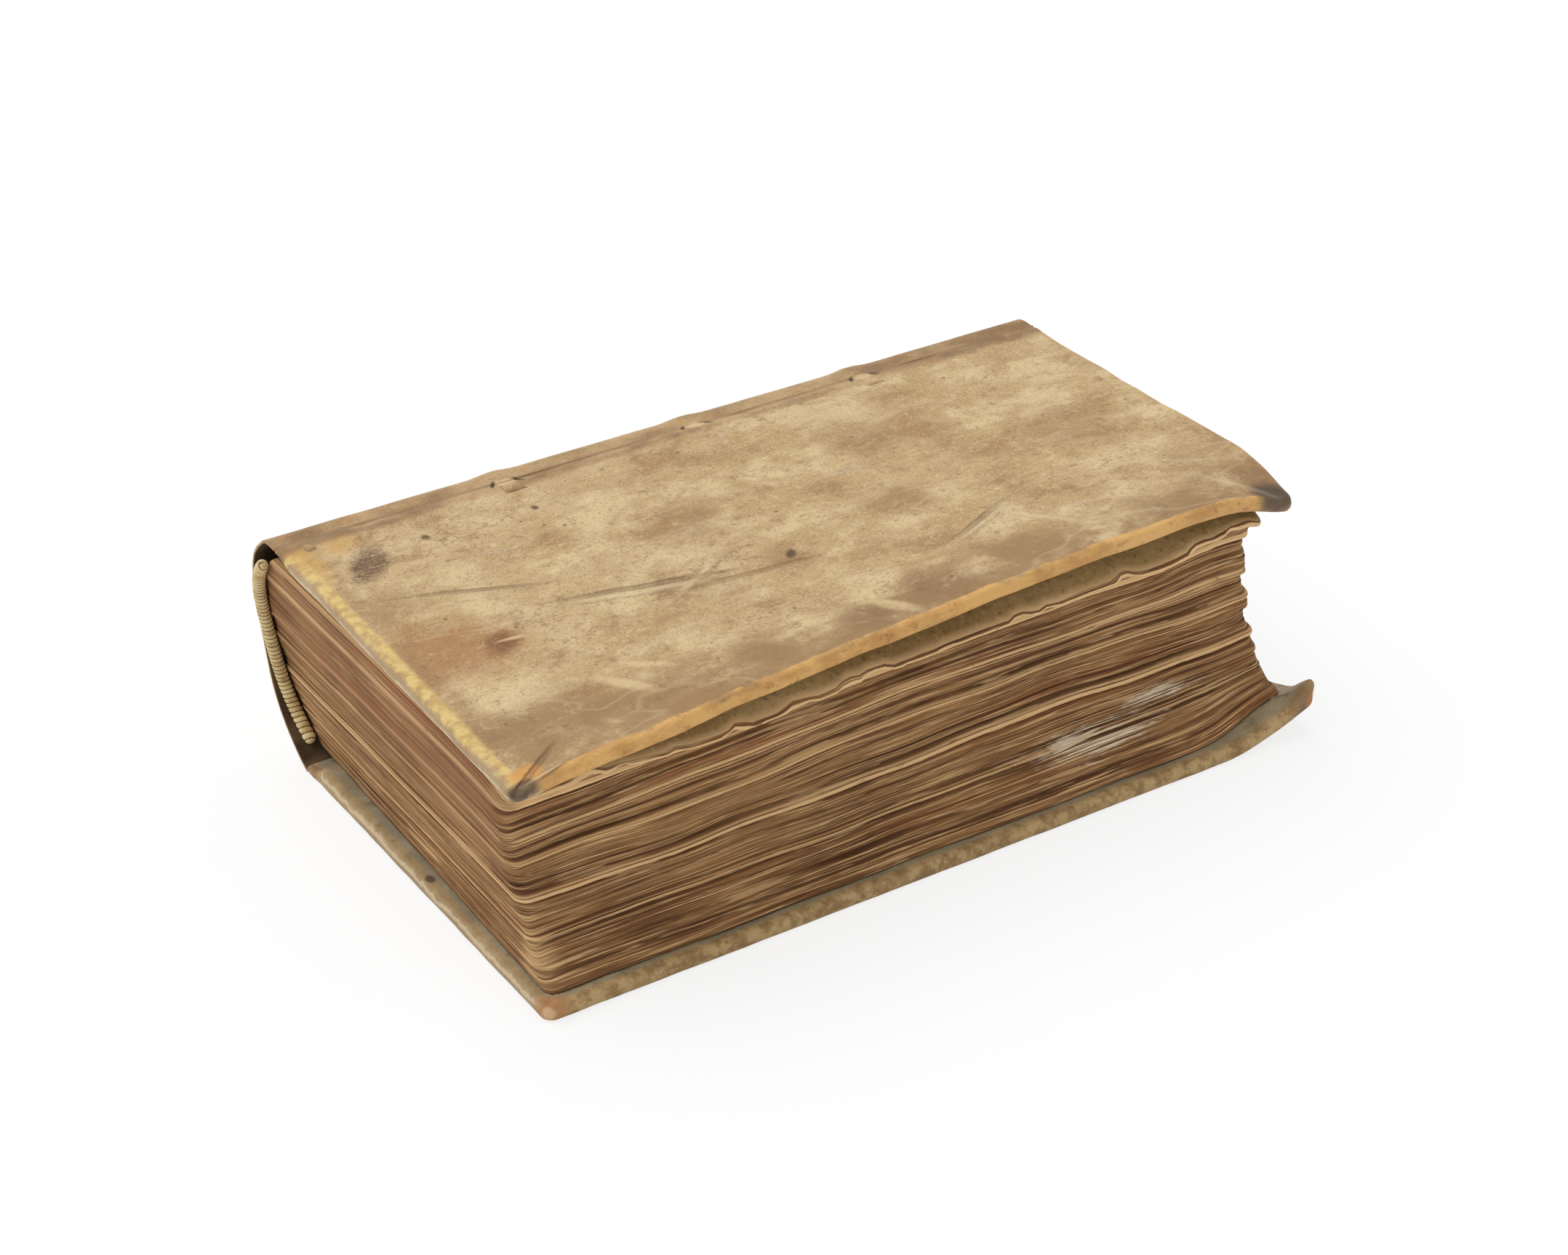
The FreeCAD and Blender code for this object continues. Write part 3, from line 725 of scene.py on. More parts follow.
def finished(bm, name, material):
    mesh = bpy.data.meshes.new(name)
    bm.to_mesh(mesh)
    bm.free()
    mesh.materials.append(material)
    for polygon in mesh.polygons:
        polygon.use_smooth = True
    piece = bpy.data.objects.new(name, mesh)
    bpy.context.scene.collection.objects.link(piece)
    return piece


def thicken(piece, thickness, rounding):
    wall = piece.modifiers.new("wall", "SOLIDIFY")
    wall.thickness = thickness * MM
    wall.offset = -1.0
    edge = piece.modifiers.new("rim", "BEVEL")
    edge.width = rounding * MM
    edge.segments = 2
    edge.limit_method = "ANGLE"
    edge.angle_limit = math.radians(60)


print("dip of the joint", round(groove(0.0), 2), "mm")

# %% Skins of both covers
SKIN_WALL = VELLUM * 0.8
SKIN_ROUNDING = 0.12
CASE_COLUMNS, CASE_ROWS = 118, 62


def make_case(name, corners, face, inward, crease):
    length = corners[2][0] - corners[3][0]
    width = corners[3][1] - corners[0][1]
    bm = flat_case(length, width, CASE_COLUMNS, CASE_ROWS)
    bend_case(bm, corners, face, inward, crease, length, width)
    piece = finished(bm, name, parchment["front" if inward < 0 else "back"])
    thicken(piece, SKIN_WALL, SKIN_ROUNDING)
    return piece


front_case = make_case("front_case", FRONT_CORNERS, front_face, -1, FRONT_CREASE)
back_case = make_case("back_case", BACK_CORNERS, back_face, 1, BACK_CREASE)
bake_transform(front_case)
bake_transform(back_case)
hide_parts("front_vellum")
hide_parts("back_vellum")
print("case triangles", sum(2 * len(piece.data.polygons) for piece in (front_case, back_case)))

# %% [markdown]
# ## Laced slips
#
# The ends of the sewing supports and of the endbands come through slits in the joint and go back in,
# so each one shows as a low worn patch. A few small patches could be painted on, but they catch the
# light, so each is a small grid domed over its slit. It dips into the groove of the joint as the skin
# does.

# %% Patches of the laced slips
def make_patch(name, side, place, width):
    front = side == "front"
    crease, face, inward = (FRONT_CREASE, front_face, -1) if front else (BACK_CREASE, back_face, 1)
    bm = bmesh.new()
    worn = bm.verts.layers.float_vector.new("skin")
    bmesh.ops.create_grid(bm, x_segments=14, y_segments=12, size=0.5)
    for vert in bm.verts:
        across, along = vert.co.x, vert.co.y
        dome = (1.0 - (2 * across) ** 4) * (1.0 - (2 * along) ** 4)
        x = place + across * width * (1.0 - 0.3 * (along + 0.5))
        y = crease - 3.4 + along * 3.6 + 0.3 * ripple(x, place, 3.0, 1.6)
        out = 0.3 * dome - 0.14 + 0.08 * ripple(x, y, 7.0, 1.2)
        dip = -groove(crease - y) if front else groove(crease - y) * LOWER_DIP
        z = face(x, y) - inward * out + dip
        # The joint value reaches 1 at the rim of the patch, where the finish paints shade round it.
        vert[worn] = (0.0, 0.0, 0.55 + 0.45 * (1.0 - dome))
        vert.co = in_frame(x, y, z if front else max(z, 0.02))
    if not front:
        bmesh.ops.reverse_faces(bm, faces=bm.faces[:])
    patch = finished(bm, name, parchment[side])
    thicken(patch, 0.3, 0.05)
    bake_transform(patch)
    return patch


CORE_LACING, SUPPORT_LACING = 2.6, 4.6
LACINGS = (
    (3.6, CORE_LACING),
    *((place, SUPPORT_LACING) for place in SUPPORT_PLACES),
    (161.8, CORE_LACING),
)
for side in ("front", "back"):
    for number, (place, width) in enumerate(LACINGS, start=1):
        patch = make_patch("%s_lacing_%d" % (side, number), side, place, width)
        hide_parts("%s_slip_%d" % (side, number))
print("laced patches on each cover", number)

# %% [markdown]
# ## The skin over the spine
#
# Between the joints the skin follows the arch of the block and rises a little over each of the three
# sewing supports. Ends of the lacing show at the shoulder as small pale bits beside slits darkened
# with painted shade. A grid bent over the arch gives this in one go; a lathe would make every
# station alike, which old spines never are.

# %% Spine skin
def band_rise(x, share):
    at_shoulder = smooth(0.86, 0.93, share) * (1.0 - smooth(0.95, 0.99, share))
    rise = 0.0
    for place in SUPPORT_PLACES:
        away = abs(x - place)
        rise += 0.62 * (1.0 - smooth(1.6, 5.6, away))
        rise += 0.35 * (1.0 - smooth(1.0, 2.6, away)) * at_shoulder
    return rise


def spine_inside_shade_finish():
    """The inside of the spine skin, dark brown with clouds as painted shade of the hollow behind the
    spine.
    """
    f = Finish("spine_inside_shade")
    shade_clouds = clouds(f, 6.0, detail=5.0)
    tint = over(f, between(f, shade_clouds, 0.35, 0.65), (70, 54, 38), (104, 84, 60))
    return f.end(Base_Color=tint, Roughness=0.85, Specular_IOR_Level=0.2)


spine_inside_shade = spine_inside_shade_finish()


def make_spine():
    bm = bmesh.new()
    worn = bm.verts.layers.float_vector.new("skin")
    bmesh.ops.create_grid(bm, x_segments=150, y_segments=70, size=0.5)
    for vert in bm.verts:
        along, share = vert.co.x + 0.5, crowd(vert.co.y + 0.5)
        tail = -1.6 * share ** 1.5 - 0.7 * smooth(0.35, 0.8, share) * smooth(1.0, 0.86, share)
        x = tail + crowd(along) * (COVER_HEIGHT - tail)
        free = math.sin(math.pi * share) ** 0.5
        shoulder = smooth(1.0, 0.94, share) * smooth(0.66, 0.92, share)
        rise = (band_rise(x, share) + 0.16 * ripple(x, 40 * share, 8.0, 9.0)) * free + 2.1 * shoulder
        point = arch_point(share, -rise)
        crease_up = (point - arch(1.0)).length
        crease_low = (point - arch(0.0)).length
        point.z += groove(crease_low) * LOWER_DIP - groove(crease_up)
        # The tone nears 1 at the upper crease, where the finish paints shade at the bottom of the groove.
        tone = smooth(9.0, 2.5, crease_up) * 0.88 + 0.12 * smooth(1.6, 0.3, crease_up)
        tone = max(tone, smooth(9.0, 2.5, crease_low) * 0.7)
        end = max(smooth(1.4, 0.2, x - tail), smooth(1.4, 0.2, COVER_HEIGHT - x))
        vert[worn] = (end * 0.3, 0.0, tone)
        vert.co = in_frame(x, point.y, max(point.z, 0.02))
    bmesh.ops.recalc_face_normals(bm, faces=bm.faces[:])
    if sum(item.normal.y for item in bm.faces) < 0:
        bmesh.ops.reverse_faces(bm, faces=bm.faces[:])
    piece = finished(bm, "spine_skin", parchment["spine"])
    thicken(piece, SKIN_WALL, SKIN_ROUNDING)
    # The inner face of the spine skin carries the dark painted shade of the hollow spine.
    piece.data.materials.append(spine_inside_shade)
    piece.modifiers["wall"].material_offset = 1
    piece.modifiers["wall"].material_offset_rim = 0
    return piece


spine_skin = make_spine()
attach(spine_skin, "text_block")
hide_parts("spine_vellum")
print("spine skin points", len(spine_skin.data.vertices))

# %% [markdown]
# ## Leaves
#
# The block is some three hundred rag-paper leaves folded into gatherings. Old leaf edges are brown
# and worn: each gathering stands out between two dark clefts, corners are rounded by thumbs, and
# leaves cockle in long waves. Hundreds of separate sheets would be heavy and hard to keep apart, so
# the block is one closed mesh: a grid whose border is extruded once per bundle of leaves, and each
# ring is then moved in or out. The attribute page holds the place along the edge, the height inside
# the block and how far a point stands out, so that the finish can follow the waves.

# %% Levels of the leaves
SECTIONS = 24
LEAVES_DRAWN = 9
BLOCK_FOOT = 3.4
BLOCK_RISE = 42.3
BLOCK_LENGTH = 163.0
BLOCK_TAIL = 4.2
BLOCK_LEAN = 6.0
BLOCK_BACK = 2.05


def section_levels():
    levels = [0.0]
    for number in range(SECTIONS):
        levels.append(levels[-1] + 1.0 + 0.45 * math.sin(2.7 * (number + 1)))
    return [level / levels[-1] for level in levels]


def leaf_levels():
    """For every drawn leaf: share of the height, gathering, place in it and how far it stands out."""
    meets = section_levels()
    leaves = []
    for number in range(SECTIONS):
        for leaf in range(LEAVES_DRAWN):
            local = leaf / LEAVES_DRAWN
            share = meets[number] + local * (meets[number + 1] - meets[number])
            proud = (0.75 if leaf % 2 else 0.25) + random.uniform(-0.25, 0.25)
            leaves.append((share, number, local, 0.0 if leaf == 0 else proud))
    leaves.append((1.0, SECTIONS - 1, 1.0, 0.5))
    return leaves


LEAVES = leaf_levels()
STANDING = (3, 7, 12, 15, 20, 23)
BOLD = [
    0.8 + 0.2 * random.random() if number in STANDING else 0.5 * random.random()
    for number in range(SECTIONS)
]
DEEP = [0.15 + 0.85 * random.random() ** 2 for _ in range(SECTIONS)]
WORN_CORNER = [1.2 + 2.6 * random.random() ** 1.5 for _ in range(SECTIONS)]
print("levels of leaves", len(LEAVES))

# %% Place of a point of the block
REACH_STEPS = 200


def setback_of(number):
    return 1.4 * (1.0 + math.sin(5.1 * (number + 1))) / 2


def cockle(along, share):
    turn = 2.0 * math.pi
    wave = math.sin(turn * (1.3 * along + share)) + math.sin(turn * (2.9 * along - 2 * share)) / 2
    wave += 0.3 * math.sin(turn * (6.7 * along + 1.3 * share))
    return 0.5 * wave * math.sin(math.pi * share)


def spine_reach(z):
    share = z / CREASE_HEIGHT
    for _ in range(5):
        share += (z - arch_point(share, BLOCK_BACK).z) / CREASE_HEIGHT
    return arch_point(share, BLOCK_BACK).y


SPINE_REACH = [
    spine_reach(BLOCK_FOOT + BLOCK_RISE * step / REACH_STEPS) for step in range(REACH_STEPS + 1)
]


def leaf_setback(leaf, along, across):
    """How far a leaf's edge lies behind the proudest one, in millimetres."""
    share, number, local, proud = leaf
    cleft = 0.7 * DEEP[number] * abs(2.0 * local - 1.0) ** 5
    torn = 0.5 + 0.5 * ripple(along * 160.0, across * 90.0 + 7.0, share * 300.0, 2.2)
    drift = 0.35 * ripple(along * 160.0, across * 90.0, share * 26.0, 22.0)
    small = 0.26 * (1.0 - proud) + 0.2 * torn * (0.4 + proud)
    stands = 0.9 * (BOLD[number] > 0.7) * (1.0 - abs(2.0 * local - 1.0) ** 2)
    crumbs = 1.5 * smooth(0.9, 1.0, share) * max(ripple(along * 160.0, 3.0, share * 60.0, 4.5), 0.0)
    return max(0.8 * setback_of(number) + cleft + small + drift + crumbs + 0.5 - stands, 0.1)


print("spine reach at mid height", round(SPINE_REACH[REACH_STEPS // 2], 2), "mm")

# %% Extrude the block of leaves
COLUMNS, ROWS = 118, 38
FORE_EDGE = 5.2
FORE_HOLLOW = 7.2
FORE_DRIFT = 2.4
FORE_SLUMP = 3.3
TAIL_SLUMP = 2.2
TOP_GAP = 0.35
FOOT_GAP = 0.35
LEAF_DEPTH = 80.0
DROOP_REACH = 6.5


def spread(share):
    return 0.55 * (1.0 - math.cos(math.pi * share)) / 2 + 0.45 * share


def leaf_place(along, across, leaf):
    share, number, _, proud = leaf
    setback = leaf_setback(leaf, along, across)
    middle = 1.0 - abs(2.0 * share - 1.0) ** 3
    level = 0.3 * setback
    height = BLOCK_LENGTH - 2.0 * level
    p, q = along * height, across * LEAF_DEPTH
    reach = WORN_CORNER[number] * (0.8 + 0.4 * proud)
    core_p = min(max(p, reach), height - reach)
    if q < reach and p != core_p:
        a, b = (p - core_p) / reach, (q - reach) / reach
        p = core_p + a * reach * math.sqrt(1 - b * b / 2)
        q = reach + b * reach * math.sqrt(1 - a * a / 2)
    slump = smooth(0.2, 0.0, share) * (1.0 - smooth(0.84, 0.98, along))
    x = BLOCK_TAIL - BLOCK_LEAN * share + level + p
    x -= TAIL_SLUMP * slump * (1.0 - across) * (1.0 - along)
    fore = FORE_EDGE + FORE_HOLLOW * middle + FORE_DRIFT * along * share + setback
    fore -= FORE_SLUMP * slump
    wave = cockle(along, share)
    z_flat = BLOCK_FOOT + BLOCK_RISE * share + wave
    spine = SPINE_REACH[int(min(max((z_flat - BLOCK_FOOT) / BLOCK_RISE, 0.0), 1.0) * REACH_STEPS)]
    y = fore + q / LEAF_DEPTH * (spine - fore)
    droop = 3.5 + 4.6 * smooth(0.0, 0.3, along) - 5.0 * smooth(0.84, 1.0, along)
    droop *= math.exp(-max(y - 6.0 - FORE_DRIFT * along, 0.0) / DROOP_REACH)
    top = front_face(x, y) - COVER_STACK - TOP_GAP - droop
    bottom = back_face(x, y) + COVER_STACK + FOOT_GAP
    return x, y, bottom * (1.0 - share) + top * share + wave


def make_leaves():
    bm = bmesh.new()
    page = bm.verts.layers.float_vector.new("page")
    tone = bm.verts.layers.float_vector.new("tone")
    last = len(LEAVES) - 1
    bmesh.ops.create_grid(bm, x_segments=COLUMNS, y_segments=ROWS, size=0.5)
    border = [edge for edge in bm.edges if edge.is_boundary]
    for level in range(1, last + 1):
        made = bmesh.ops.extrude_edge_only(bm, edges=border)["geom"]
        border = [item for item in made if isinstance(item, bmesh.types.BMEdge)]
        for vert in (item for item in made if isinstance(item, bmesh.types.BMVert)):
            vert.co.z = level
    on_top = Matrix.Translation((0, 0, last))
    lid = bmesh.ops.create_grid(bm, x_segments=COLUMNS, y_segments=ROWS, size=0.5, matrix=on_top)
    rim = {v for e in border for v in e.verts}
    bmesh.ops.remove_doubles(bm, verts=list(rim) + lid["verts"], dist=1e-5)
    for vert in bm.verts:
        along, across = spread(vert.co.x + 0.5), spread(vert.co.y + 0.5)
        leaf = LEAVES[round(vert.co.z)]
        share, number, local, proud = leaf
        cap = share in (0.0, 1.0) and 0.001 < along < 0.999 and 0.001 < across < 0.999
        x, y, z = leaf_place(along, across, leaf)
        # How far a leaf stands out and the depth of its cleft drive the painted highlight and shade of
        # the leaf finish.
        vert[page] = ((x + y) * MM, share * BLOCK_RISE * MM, 0.5 if cap else proud)
        vert[tone] = (BOLD[number], 1.0 if cap else 0.0, DEEP[number] * abs(2.0 * local - 1.0) ** 5)
        vert.co = in_frame(x, y, z)
    bmesh.ops.recalc_face_normals(bm, faces=bm.faces[:])
    return bm


leaves_bm = make_leaves()
print("leaf faces", len(leaves_bm.faces))

# %% [markdown]
# ## Finish of the leaves
#
# The edges read as thousands of fine lines: tan crests with a painted highlight, brown sides and
# near-black clefts in painted shade, with damp-stained gatherings and pale scuffs. Lines drawn on the
# height alone would cut straight through the waves, so the noise reads the page attribute, squeezed
# along the edge and stretched across it.

# %% Leaf edges
SCUFFS = (
    ((125.0, 10.0, 9.0), (12.0, 6.0, 2.0)),
    ((141.0, 11.0, 12.4), (7.0, 6.0, 1.2)),
)
# Where the rounded corner of the block gets a painted highlight: centre, half sizes.
CORNER_HIGHLIGHT = ((0.5, 8.5, 24.0), (5.0, 4.5, 24.0))


def leaf_finish():
    f = Finish("leaf_edges")
    page = f.attribute("page")
    tone = f.attribute("tone")
    proud = f.axis(page, "Z")
    bold = f.axis(tone, "X")
    cap = f.axis(tone, "Y")
    cleft = f.axis(tone, "Z")
    lines = clouds(f, 0.22, (0.01, 1.0, 0.0), 3.0, 0.6, page)
    bundles = clouds(f, 1.1, (0.011, 1.0, 0.0), 5.0, 0.68, page)
    broken = clouds(f, 0.7, (0.16, 1.0, 0.0), 5.0, 0.7, page)
    damp = clouds(f, 26.0, (1.0, 1.0, 1.6), 3.0)
    grain = clouds(f, 1.1, (1.0, 1.0, 1.0), 6.0, 0.7)
    tailness = between(f, f.axis(f.place, "X"), -79.0 * MM, -83.0 * MM)
    base = over(f, between(f, damp, 0.38, 0.64), (124, 86, 54), (150, 110, 70))
    tail_base = over(f, between(f, damp, 0.4, 0.6), (140, 98, 67), (158, 116, 80))
    base = over(f, tailness * 0.8, base, tail_base)
    calm = 1.0 - tailness * 0.65
    tint = over(f, between(f, bundles, 0.44, 0.62, 0.0, 0.6) * calm, base, (186, 142, 94))
    tint = over(f, between(f, bundles, 0.48, 0.34, 0.0, 0.8) * calm, tint, (88, 56, 32))
    russet = between(f, clouds(f, 5.0, (0.05, 1.0, 0.0), 3.0, 0.6, page), 0.52, 0.64)
    tint = over(f, russet * 0.55, tint, (150, 92, 56))
    # Painted highlight on the leaves that stand out, and painted shade on those set back.
    crest = between(f, proud, 0.5, 1.0, 0.0, 0.65) * between(f, broken, 0.34, 0.56) * calm
    tint = over(f, crest, tint, (218, 178, 124))
    tint = over(f, between(f, proud, 0.4, 0.0, 0.0, 0.5) * calm, tint, (80, 51, 30))
    glint = between(f, lines, 0.54 + tailness * 0.05, 0.6 + tailness * 0.05)
    tint = over(f, glint * (0.85 - tailness * 0.2), tint, (226, 188, 136))
    tint = over(f, between(f, lines, 0.46, 0.36, 0.0, 0.8) * calm, tint, (84, 54, 31))
    # Painted shade in the clefts between gatherings.
    tint = over(f, cleft * (0.95 - tailness * 0.6), tint, (38, 23, 13))
    # Painted highlight on the proud leaves of the bold gatherings.
    ridge = between(f, bold, 0.6, 0.75) * between(f, proud, 0.34, 0.6) * between(f, broken, 0.3, 0.42)
    tint = over(f, ridge * (0.95 - tailness * 0.55), tint, (240, 200, 146))
    for centre, half in SCUFFS:
        scuff = mark(f, centre, half, 0, 1.6, 0.9, broken) * between(f, lines, 0.46, 0.53)
        tint = over(f, scuff * 0.9, tint, (246, 230, 202))
    # Painted highlight along the rounded corner between the tail and the fore-edge.
    corner_highlight = mark(f, *CORNER_HIGHLIGHT, 0, 0.8, 0.9, damp) * between(f, lines, 0.42, 0.54)
    tint = over(f, corner_highlight * 0.5, tint, (232, 192, 138))
    sheet = over(f, between(f, damp, 0.35, 0.65), (154, 122, 76), (180, 150, 102))
    sheet = layered(f, sheet, (
        (grain, 0.52, 0.66, 0.7, (112, 82, 50)),
        (grain, 0.46, 0.34, 0.5, (206, 176, 126)),
    ))
    tint = over(f, cap, tint, sheet)
    bump = f.bump(lines * 0.55 + broken * 0.35 + grain * 0.25, 0.8, 0.3)
    return f.end(Base_Color=tint, Roughness=0.85, Normal=bump, Specular_IOR_Level=0.2)


leaf_block = finished(leaves_bm, "leaf_block", leaf_finish())
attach(leaf_block, "text_block")
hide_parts("text_block")
print("leaf block triangles", 2 * len(leaf_block.data.polygons))

# %% [markdown]
# ## Endbands
#
# At the head and the tail of the spine a cord is wound closely with thread, and its ends are laced
# into the boards. A spiral of real thread would be a long curve with a bevel; here a sheet is rolled
# into a tube round the core and pressed in between the turns, which keeps it to one light mesh.

# %% Endband tube with wound thread
PATH_STEPS = 400
CORE_DEPTH = 2.1
CORE_OUT = 1.2
TURNS = 47
AROUND = 18
PER_TURN = 7


def endband_path(to_head):
    points = []
    for step in range(PATH_STEPS + 1):
        point = arch_point(0.055 + 0.88 * step / PATH_STEPS, CORE_DEPTH)
        share = (point.z - BLOCK_FOOT) / BLOCK_RISE
        point.x = BLOCK_TAIL - BLOCK_LEAN * share + (CORE_OUT if to_head else -CORE_OUT) + to_head
        points.append(point)
    return points


def make_endband(to_head):
    path = endband_path(to_head)
    bm = bmesh.new()
    page = bm.verts.layers.float_vector.new("page")
    bmesh.ops.create_grid(bm, x_segments=TURNS * PER_TURN, y_segments=AROUND, size=0.5)
    for vert in bm.verts:
        along, turned = vert.co.x + 0.5, vert.co.y + 0.5
        angle = 2 * math.pi * turned
        place = along * (PATH_STEPS - 2) + 1
        step = int(place)
        here = path[step].lerp(path[step + 1], place - step)
        forward = (path[step + 1] - path[step - 1]).normalized()
        side = Vector((1, 0, 0)).cross(forward).normalized()
        up = forward.cross(side)
        phase = TURNS * 2 * math.pi * along + angle
        swell = abs(math.cos(phase / 2)) ** 0.6
        close = math.sin(math.pi * min(along, 1 - along, 0.02) / 0.04) ** 0.5
        radius = (1.0 + 0.25 * swell) * (0.25 + 0.75 * close)
        point = here + (side * math.cos(angle) + up * math.sin(angle)) * radius
        vert[page] = (along * TURNS, swell, turned)
        vert.co = in_frame(*point)
    bmesh.ops.remove_doubles(bm, verts=bm.verts[:], dist=2e-6)
    bmesh.ops.holes_fill(bm, edges=[e for e in bm.edges if e.is_boundary], sides=0)
    bmesh.ops.recalc_face_normals(bm, faces=bm.faces[:])
    return bm


def thread_finish():
    f = Finish("endband_thread")
    page = f.attribute("page")
    turn = f.node("Math", {"operation": "ROUND"}, {0: f.axis(page, "X")})
    swell = f.axis(page, "Y")
    worn = clouds(f, 2.4, detail=5.0)
    waves = {"Vector": f.place, "Scale": 900.0, "Distortion": 3.0}
    plies = f.node("TexWave", {"bands_direction": "X"}, waves)
    pick = f.node("TexWhiteNoise", {"noise_dimensions": "1D"}, {"W": turn})
    tint = over(f, between(f, pick, 0.2, 0.9), (226, 204, 150), (206, 176, 124))
    tint = layered(f, tint, (
        (worn, 0.5, 0.66, 0.7, (236, 216, 170)),
        (worn, 0.45, 0.3, 0.6, (150, 126, 78)),
        # Painted shade in the gaps between the turns of thread.
        (swell, 0.7, 0.25, 1.0, (78, 54, 32)),
    ))
    bump = f.bump(plies + worn, 0.6, 0.12)
    return f.end(Base_Color=tint, Roughness=0.8, Normal=bump, Specular_IOR_Level=0.25)


thread = thread_finish()
for end, to_head in (("tail", 0.0), ("head", BLOCK_LENGTH)):
    band = finished(make_endband(to_head), end + "_endband_thread", thread)
    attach(band, "text_block")
    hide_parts(end + "_endband_winding")
    print(band.name, "points", len(band.data.vertices))

# %% [markdown]
# ## Finishes of the pieces that stay as solids
#
# Boards, pastedowns, supports, linings and cores have the right shape as solids, so they only get
# finishes: brown layered pulpboard, stained paper, tawed skin, scraps of old parchment and cord. They
# differ in three colours, the size of their fibres and the depth of their grain, and one function
# makes them all.

# %% Pulpboard, pastedown paper, tawed skin and lining
def plain_finish(name, dark, mid, light, size, stretch, depth, rough):
    f = Finish(name)
    broad = clouds(f, size * 5, detail=3.0)
    fibres = clouds(f, size, stretch, 6.0, 0.65)
    dots = clouds(f, size / 3, detail=4.0, rough=0.7)
    tint = over(f, between(f, broad, 0.35, 0.65), mid, light)
    tint = layered(f, tint, (
        (fibres, 0.5, 0.3, 0.8, dark),
        (dots, 0.58, 0.72, 0.5, dark),
    ))
    bump = f.bump(fibres + dots * 0.4, 0.7, depth)
    return f.end(Base_Color=tint, Roughness=rough, Normal=bump, Specular_IOR_Level=0.25)


FINISHES = {
    "board": plain_finish(
        "pulpboard", (92, 76, 58), (128, 108, 84), (146, 126, 98),
        size=1.6, stretch=(1, 1, 3), depth=0.3, rough=0.9),
    "pastedown": plain_finish(
        "pastedown_paper", (104, 86, 60), (140, 124, 92), (158, 142, 108),
        size=3.0, stretch=(0.5, 2, 1), depth=0.12, rough=0.85),
    "support": plain_finish(
        "tawed_skin", (110, 80, 52), (158, 126, 88), (182, 150, 110),
        size=1.2, stretch=(2, 0.6, 1), depth=0.2, rough=0.7),
    "lining": plain_finish(
        "spine_lining", (128, 100, 70), (178, 150, 110), (198, 172, 132),
        size=2.2, stretch=(1, 1, 1), depth=0.15, rough=0.7),
    "core": plain_finish(
        "endband_core", (110, 84, 56), (168, 138, 98), (186, 158, 118),
        size=0.8, stretch=(1, 1, 3), depth=0.15, rough=0.8),
}


def finish_of(name):
    return next(FINISHES[word] for word in FINISHES if word in name)


staying = [name for name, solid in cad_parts.items() if not solid.hide_render]
for name in staying:
    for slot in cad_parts[name].material_slots:
        slot.material = finish_of(name)
print("solids that stay", staying)

# %% [markdown]
# ## Floor, light and camera
#
# The book lies on white under wide soft daylight from above and behind, so the fore-edge is in its
# own shade. A wide sun and an even sky give that without hot spots. The camera stands high in front
# of the tail corner and looks down on the book with a long lens.

# %% Floor and light
floor_bm = bmesh.new()
bmesh.ops.create_grid(floor_bm, x_segments=1, y_segments=1, size=3.0)
floor_finish = Finish("white_floor")
tone = clouds(floor_finish, 400.0, detail=1.0)
floor_tint = over(floor_finish, tone, (254, 254, 254), (252, 252, 252))
floor_finish.end(Base_Color=floor_tint, Roughness=0.9, Specular_IOR_Level=0.0)
seen = floor_finish.node("LightPath", out="Is Camera Ray")
paper_white = floor_finish.node("Emission", {}, {"Color": (255, 255, 255), "Strength": 1.0})
lit = Strand(floor_finish, floor_finish.shader.outputs[0])
blend = floor_finish.node("MixShader", {}, {0: seen * 0.8, 1: lit, 2: paper_white})
floor_finish.feed(floor_finish.tree.nodes["Material Output"].inputs["Surface"], blend)
floor = finished(floor_bm, "floor", floor_finish.material)

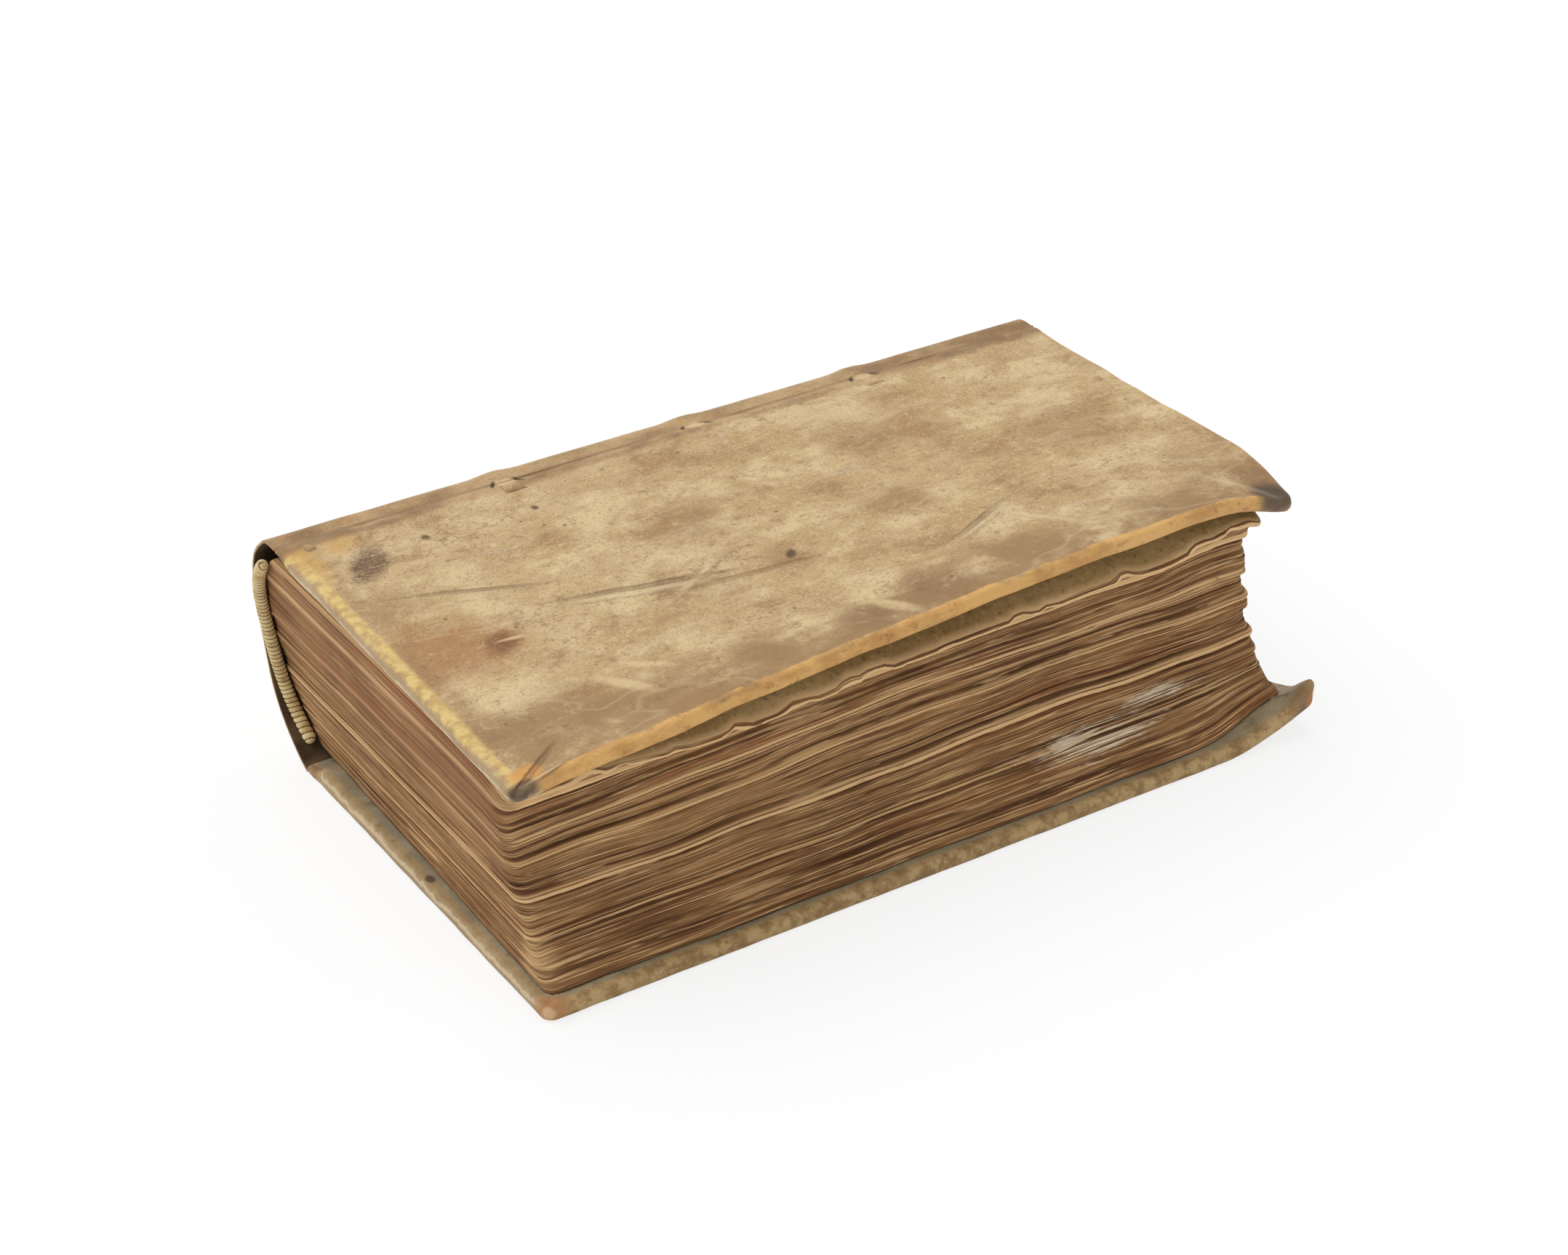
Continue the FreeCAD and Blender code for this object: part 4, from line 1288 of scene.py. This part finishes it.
sun = bpy.data.lights.new("soft_sun", "SUN")
sun.energy = 1.6
sun.angle = math.radians(60)
sun_holder = bpy.data.objects.new("soft_sun", sun)
sun_holder.rotation_mode = "QUATERNION"
sun_holder.rotation_quaternion = Vector((0.3, -0.42, -1.0)).to_track_quat("-Z", "Y")
bpy.context.scene.collection.objects.link(sun_holder)

world = bpy.data.worlds.new("white_room")
world.use_nodes = True
sky = world.node_tree.nodes["Background"]
sky.inputs["Color"].default_value = (1.0, 1.0, 1.0, 1.0)
sky.inputs["Strength"].default_value = 0.62
seen = world.node_tree.nodes.new("ShaderNodeLightPath")
bright = world.node_tree.nodes.new("ShaderNodeBackground")
bright.inputs["Strength"].default_value = 1.0
pick = world.node_tree.nodes.new("ShaderNodeMixShader")
out = world.node_tree.nodes["World Output"]
world.node_tree.links.new(seen.outputs["Is Camera Ray"], pick.inputs[0])
world.node_tree.links.new(sky.outputs[0], pick.inputs[1])
world.node_tree.links.new(bright.outputs[0], pick.inputs[2])
world.node_tree.links.new(pick.outputs[0], out.inputs[0])
bright.inputs["Color"].default_value = (1.0, 1.0, 1.0, 1.0)
bpy.context.scene.world = world
bpy.context.scene.view_settings.view_transform = "Standard"
print("sun", sun.energy, "sky", sky.inputs["Strength"].default_value)

# %% Camera
camera_data = bpy.data.cameras.new("camera")
camera_data.sensor_width = 36.0
camera_data.lens = 75.14
camera_data.clip_end = 20.0
camera = bpy.data.objects.new("camera", camera_data)
azimuth, elevation = math.radians(-32.9), math.radians(31.0)
right = Vector((math.cos(azimuth), math.sin(azimuth), 0.0))
tilt = math.sin(elevation)
up = Vector((-math.sin(azimuth) * tilt, math.cos(azimuth) * tilt, math.cos(elevation)))
back = right.cross(up)
turned = Matrix((right, up, back)).transposed().to_4x4()
camera.matrix_world = Matrix.Translation((-0.2886, -0.4451, 0.3436)) @ turned
bpy.context.scene.collection.objects.link(camera)
bpy.context.scene.camera = camera
print("camera looks along", [round(-value, 3) for value in back])

# %% The end
bpy.context.view_layer.update()
